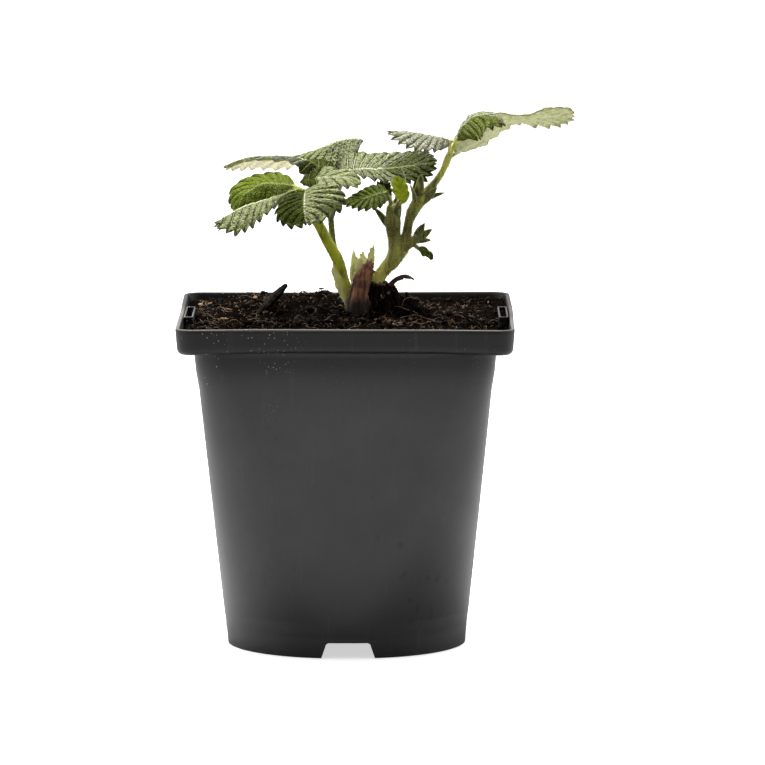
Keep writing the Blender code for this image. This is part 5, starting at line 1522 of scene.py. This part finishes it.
DRIED_BRACT = dict(
    path=[
        (15.5, -2, 138.5), (18, -2.2, 141.5), (20.5, -2.6, 143.3), (23.5, -3.2, 143.8),
        (26.5, -4, 142.5),
    ],
    face=[(-0.6, -0.6, 0.6), (-0.3, -0.5, 0.9), (0.2, -0.4, 1)],
    width=(1.5, 1.7), fold=((0,), (0,)), curl=((-40,), (-40,)), pleat=0.0, shape=(0.35, 0.5),
    thick=0.4, columns=12, bite=0.25, wrinkle=0.2,
)
STIPULE_WING = dict(
    path=[(0.2, -4.5, 132.5), (-1.5, -4.5, 138), (-3.3, -4.3, 143), (-4.9, -4.2, 149.8)],
    face=[(-0.3, -1, 0), (-0.3, -1, 0), (-0.3, -1, 0)],
    width=(2.0, 2.2), fold=((0,), (0,)), curl=((-10,), (-10,)), pleat=0.0, shape=(0.6, 0.6),
    thick=0.35, columns=10, bite=0.35, wrinkle=0.15,
)

# Painted light and shade on each leaflet: the tone of its left half, of its right half, and the change toward
# its tip.
LEAF_LIGHT_AND_SHADE = {
    "front_leaflet_left": (0.75, 0.75, -0.1),
    "front_leaflet_back": (0.1, 0.68, 0.0),
    "front_leaflet_right": (0.55, 0.3, 0.1),
    "back_leaflet_left": (-0.5, 0.6, 1.3),
    "back_leaflet_top": (0.2, 0.2, 0.9),
    "back_leaflet_right": (0.35, 0.35, -0.75),
    "back_leaflet_small": (0.55, 0.5, 0.4),
    "upper_leaflet_left": (0.9, 0.9, 0.0),
    "upper_leaflet_middle": (0.7, 0.9, -0.1),
    "upper_leaflet_right": (0.6, 0.6, 0.0),
    "young_leaflet_left": (0.2, 0.3, 0.3),
    "young_leaflet_bright": (0.9, 0.9, 0.0),
    "young_leaflet_dark": (0.5, 0.5, 0.0),
    "pendant_leaflet": (0.4, 0.6, 0.0),
}
EVEN_TONE = (0.5, 0.5, 0.0)
# Leaflets with skins of their own, some of them copies of the leaf with painted light, sheen or shade:
# left half, right half, underside, and for some a patch of the upper side with the tooth counts that it runs
# between.
SKINS = {
    "front_leaflet_back": (BRIGHT, BRIGHT, UNDER),
    "front_leaflet_right": (MATURE, SHADED_LEAF, UNDER),
    "back_leaflet_left": (MATURE, PALE, SHELL, SHADED_LEAF, (-9, 1.3)),
    "back_leaflet_small": (MATURE, MATURE, UNDER, SHADED_LEAF, (-9, 0.7)),
    "back_leaflet_right": (MATURE, MATURE, UNDER, HALF_SHADED_LEAF, (4.7, 99)),
    "upper_leaflet_left": (SHEEN_LEAF, SHEEN_LEAF, UNDER),
    "upper_leaflet_middle": (SHEEN_LEAF, HALF_SHADED_LEAF, UNDER),
    "upper_leaflet_right": (THIN, THIN, THIN_UNDER),
    "young_leaflet_bright": (LIT_LEAF, LIT_LEAF, UNDER),
    "young_leaflet_dark": (SHADED_LEAF, SHADED_LEAF, UNDER),
}
margin_hairs = []


def rim_hairs(points, facts, count, seed):
    """Short pale hairs that stand out from a leaflet's rim."""
    rim = np.flatnonzero(np.abs(facts[:, 1]) > 0.999)
    middle = points.mean(0)
    draw = np.random.default_rng(seed)
    picks = draw.choice(rim, count)
    away = unit(points[picks] - middle)
    directions = away + 0.5 * draw.normal(0, 1, (count, 3))
    return spikes(points[picks], directions, draw.uniform(0.35, 0.9, count), np.full(count, 0.05))


def make_leaflets():
    seed = 100
    groups = [
        ("leaf", MATURE, RIM_HAIRS, {**FRONT_LEAFLETS, **BACK_LEAFLETS, **UPPER_LEAFLETS}),
        ("young_leaf", YOUNG, YOUNG_RIM_HAIRS, YOUNG_LEAFLETS),
    ]
    for slot, usual, hairs, leaflets in groups:
        for name, spec in leaflets.items():
            seed += 10
            skins = SKINS.get(name, (usual, usual, UNDER))
            blade, points, facts = make_blade(name + "_blade", spec, skins, LEAF_LIGHT_AND_SHADE[name], seed)
            keep(blade, slot, name)
            margin_hairs.append(rim_hairs(points, facts, hairs, seed))


# Stems

def leaflet_stalks(stem, leaflets, number=-1):
    """The little stalks from a point of a stem, usually its last, to the leaflets, run into the blades."""
    joint = stem[0][number]
    stalks = []
    for spec in leaflets.values():
        base, following = np.array(spec["path"][0], float), np.array(spec["path"][1], float)
        ahead = unit(following - base)
        end = np.array(spec.get("stalk_end", base + ahead * 1.2), float)
        middle = (np.array(joint) + end) / 2 + np.array(spec.get("stalk_bow", (0, 0, 0)))
        middle = middle - 0.06 * np.linalg.norm(end - joint) * ahead
        stalks.append(tube([joint, middle, end], LEAFLET_STALK_RADII, 10, 14))
    return stalks


def make_stem(node, slot, material, tubes, voxel, rounds):
    """A stem grown together from its tubes. Returns it for its coat of hairs."""
    stem = build(node + "_stem", *joined(tubes), [material])
    grown_together(stem, voxel, rounds)
    stem.data.materials.clear()
    stem.data.materials.append(material)
    return keep(stem, slot, node)


def make_sheath(name, spec, material, seed, slot, *nodes):
    blade, *_ = make_blade(name, spec, [material] * 3, EVEN_TONE, seed)
    keep(blade, slot, *nodes)


def make_stems():
    front = make_stem("front_petiole", "petiole", PETIOLE, [
        tube(*FRONT_PETIOLE),
        *leaflet_stalks(FRONT_PETIOLE, FRONT_LEAFLETS),
    ], 0.35, 6)
    make_sheath("stipule_wing", STIPULE_WING, BUD_PALE, 3, "petiole")
    back = make_stem("back_petiole", "hairy_stalk", BACK_STEM, [
        tube(*BACK_PETIOLE),
        *leaflet_stalks(BACK_PETIOLE, BACK_LEAFLETS),
    ], 0.3, 5)
    young = dict(YOUNG_LEAFLETS)
    pendant = {"pendant_leaflet": young.pop("pendant_leaflet")}
    stalk = make_stem("right_stalk", "hairy_stalk", STALK_GREEN, [
        *[tube(*stem) for stem in (STALK, LEFT_FORK, RIGHT_FORK, UPPER_PETIOLE, SIDE_STEM)],
        *leaflet_stalks(UPPER_PETIOLE, UPPER_LEAFLETS),
        *leaflet_stalks(LEFT_FORK, young),
        *leaflet_stalks(SIDE_STEM, pendant, 1),
    ], 0.32, 7)
    for number, spec in enumerate([*TOP_BRACTS, *SIDE_BRACTS, *YOUNG_BRACTS]):
        seed = 40 + number
        blade, points, facts = make_blade(f"bract_{number}", spec, [BRACT_GREEN] * 3, EVEN_TONE, seed)
        keep(blade, "hairy_stalk")
        margin_hairs.append(rim_hairs(points, facts, YOUNG_RIM_HAIRS, seed))
    coats = [
        hair_coat(front, 2600, 31, 1.0, 0.045, 0.1, HAIRS_FROM),
        hair_coat(back, 2600, 32, 1.1, 0.05, 0.1, HAIRS_FROM),
        hair_coat(stalk, 9000, 33, 1.15, 0.045, 0.15, HAIRS_FROM),
        tube(*AWN),
    ]
    keep(build("stem_hairs", *joined(coats), [HAIRS]), "hairy_stalk")


# The crown

# The crown's form from the soil up: side shift, radius and height.
CROWN_FORM = np.array([
    (0, 3.5, 116), (0.5, 5.2, 122), (1.5, 6.6, 128), (1.5, 6.0, 133), (0.7, 5.0, 137.5), (0.2, 4.2, 140),
])


def crown_at(z):
    """The crown's middle and radius at a height."""
    shift, radius = (np.interp(z, CROWN_FORM[:, 2], CROWN_FORM[:, k]) for k in range(2))
    return CROWN_X + shift, radius


def crown_body():
    sides, rows = 64, 46
    turns = turns_of(sides)
    rings = []
    for z in np.linspace(CROWN_FORM[0, 2], CROWN_FORM[-1, 2], rows):
        middle, radius = crown_at(z)
        strands = 0.09 * value_noise(turns * 5.2, z * 0.12, 1.0, 13)
        knots = 0.08 * value_noise(turns * 2.0, z * 0.45, 1.0, 14)
        wide = radius * (1 + strands + knots)
        rings.append(np.stack([middle + wide * np.cos(turns), wide * np.sin(turns), np.full(sides, z)], 1))
    vectors = {"tone": np.full((sides * rows, 3), 0.3)}
    crown = build("crown_body", np.vstack(rings), bridge(rings), [BARK], vectors=vectors)
    turn_outward(crown)
    keep(crown, "woody_crown", "crown")


def crown_fibres():
    """Strands that run up the crown and fray at its top."""
    draw = np.random.default_rng(12)
    parts, tones = [], []
    for _ in range(STRANDS_ON_CROWN):
        turn = draw.uniform(0, 2 * math.pi)
        low, high = draw.uniform(124, 130), draw.uniform(131, 142)
        path = []
        for z in np.linspace(low, high, 5):
            middle, radius = crown_at(z)
            radius = radius + 0.25 + 0.9 * draw.uniform() * (z > high - 3)
            bend = turn + 0.12 * draw.uniform(-1, 1)
            path.append((middle + radius * math.cos(bend), radius * math.sin(bend), z))
        parts.append(tube(path, (0.35, 0.5, 0.4, 0.12), 6, 12))
        tones.append(draw.uniform(0.05, 0.75))
    make_strewn("crown_fibres", "woody_crown", BARK, parts, tones)


def crown_clods():
    """Soil that clings to the crown's foot."""
    draw = np.random.default_rng(23)
    parts, tones = [], []
    for _ in range(CLODS_ON_CROWN):
        turn = draw.uniform(-0.6, 1.2) * math.pi
        z = draw.uniform(127, 137.5)
        radius = crown_at(z)[1] + 1.6 * draw.uniform() * (137.5 - z) / 10
        points, faces = lump(draw, draw.uniform(0.4, 1.3), True)
        place = (CROWN_X + 1 + radius * math.cos(turn), radius * math.sin(turn), z)
        parts.append((points + place, faces))
        tones.append(draw.uniform() ** 3)
    make_strewn("crown_clods", "compost", CRUMBS, parts, tones)


def crown_collar():
    """The frayed ring of dry skin around the stalk's foot."""
    draw = np.random.default_rng(19)
    circle = []
    for turn in np.linspace(0, 2 * math.pi, 15):
        radius = COLLAR_RADIUS + 0.5 * draw.uniform(-1, 1)
        z = COLLAR_HEIGHT + draw.uniform(-0.7, 0.7)
        circle.append((COLLAR_X + radius * math.cos(turn), radius * math.sin(turn), z))
    collar = build("crown_collar", *tube(circle, (0.8, 1.1, 0.7, 1.2, 0.8), 10, 90, 0.5, 18), [RED])
    keep(collar, "dry_sheath")


def make_crown():
    crown_body()
    crown_fibres()
    crown_clods()
    crown_collar()
    make_sheath("brown_sheath_blade", BROWN_SHEATH, BROWN, 21, "dry_sheath", "brown_sheath")
    make_sheath("dried_bract_blade", DRIED_BRACT, RED, 22, "dry_sheath", "dried_bract")
    core = build("bud_core", *tube(*BUD_CORE), [BUD_PALE])
    keep(core, "bud_sheath", "bud_sheaths")
    for number, spec in enumerate(BUD_SHEATHS):
        make_sheath(f"bud_{number}", spec, BUD_PALE, 60 + number, "bud_sheath")


# The set

def linked(name, data):
    obj = bpy.data.objects.new(name, data)
    bpy.context.scene.collection.objects.link(obj)
    return obj


def make_floor():
    """A wide pale floor that bounces less light than the camera sees on it."""
    mesh = bpy.data.meshes.new("floor")
    corners = [(x * FLOOR_HALF, y * FLOOR_HALF, 0) for x, y in ((-1, -1), (1, -1), (1, 1), (-1, 1))]
    mesh.from_pydata(corners, [], [(0, 1, 2, 3)])
    look = Look("pale_floor")
    bounce = look.add("BsdfDiffuse", {"Color": (0.45, 0.45, 0.45, 1.0)})
    paper = look.add("BsdfDiffuse", {"Color": (0.9, 0.9, 0.9, 1.0)})
    glow = look.add("Emission", {"Color": WHITE, "Strength": 0.6})
    seen = look.add("AddShader", {0: paper, 1: glow})
    mixed = look.add("MixShader", {0: look.add("LightPath"), 1: bounce, 2: seen})
    mesh.materials.append(look.close(mixed))
    floor = linked("floor", mesh)
    floor.location.z = -FLOOR_DROP


def make_world():
    """A studio that is brighter behind, above and beside the plant, and plain white to the camera."""
    world = bpy.data.worlds.new("studio")
    world.use_nodes = True
    nodes = Nodes(world.node_tree)
    direction = nodes.add("TexCoord")
    side, away, up = (nodes.axis(direction, number) for number in range(3))
    strength = nodes.plus(
        nodes.ease(away, -0.5, 0.3, 0.08, 1.35),
        nodes.ease(nodes.calc("ABSOLUTE", side), 0.6, 0.95, 0.0, 0.35),
        nodes.ease(side, 0.1, -0.9, 0.0, 0.2),
        nodes.ease(up, 0.2, 0.9, 0.0, 0.4),
    )
    lit = nodes.add("Background", {"Color": WHITE, "Strength": strength})
    seen = nodes.add("Background", {"Color": WHITE, "Strength": 1.1})
    mixed = nodes.add("MixShader", {0: nodes.add("LightPath"), 1: lit, 2: seen})
    output = world.node_tree.nodes.new("ShaderNodeOutputWorld")
    world.node_tree.links.new(mixed, output.inputs["Surface"])
    bpy.context.scene.world = world


def make_light():
    data = bpy.data.lights.new("top_light", "AREA")
    data.shape = "RECTANGLE"
    data.size, data.size_y = LAMP_SIZE
    data.energy = LAMP_WATTS
    light = linked("top_light", data)
    light.location = LAMP_PLACE
    ahead = np.array(LAMP_TARGET) - np.array(LAMP_PLACE)
    tilt = math.atan2(math.hypot(ahead[0], ahead[1]), -ahead[2])
    light.rotation_euler = (tilt, 0, math.atan2(ahead[1], ahead[0]) - math.pi / 2)


def make_camera():
    data = bpy.data.cameras.new("camera")
    data.sensor_width = SENSOR
    data.lens = FOCAL_PIXELS / PICTURE_PIXELS * SENSOR
    data.clip_end = 20.0
    camera = linked("camera", data)
    camera.location = ((CAMERA_X + POT_X) * MM, CAMERA_Y, CAMERA_Z)
    camera.rotation_euler = (math.radians(90 - CAMERA_TILT), 0, 0)
    bpy.context.scene.camera = camera
    bpy.context.scene.view_settings.view_transform = "Standard"


make_pot()
make_soil()
make_crumbs()
make_fibres()
make_chips()
make_bark_bits()
make_crown()
make_leaflets()
make_stems()
keep(build("rim_hairs", *joined(margin_hairs), [HAIRS]), "leaf")
make_floor()
make_world()
make_light()
make_camera()
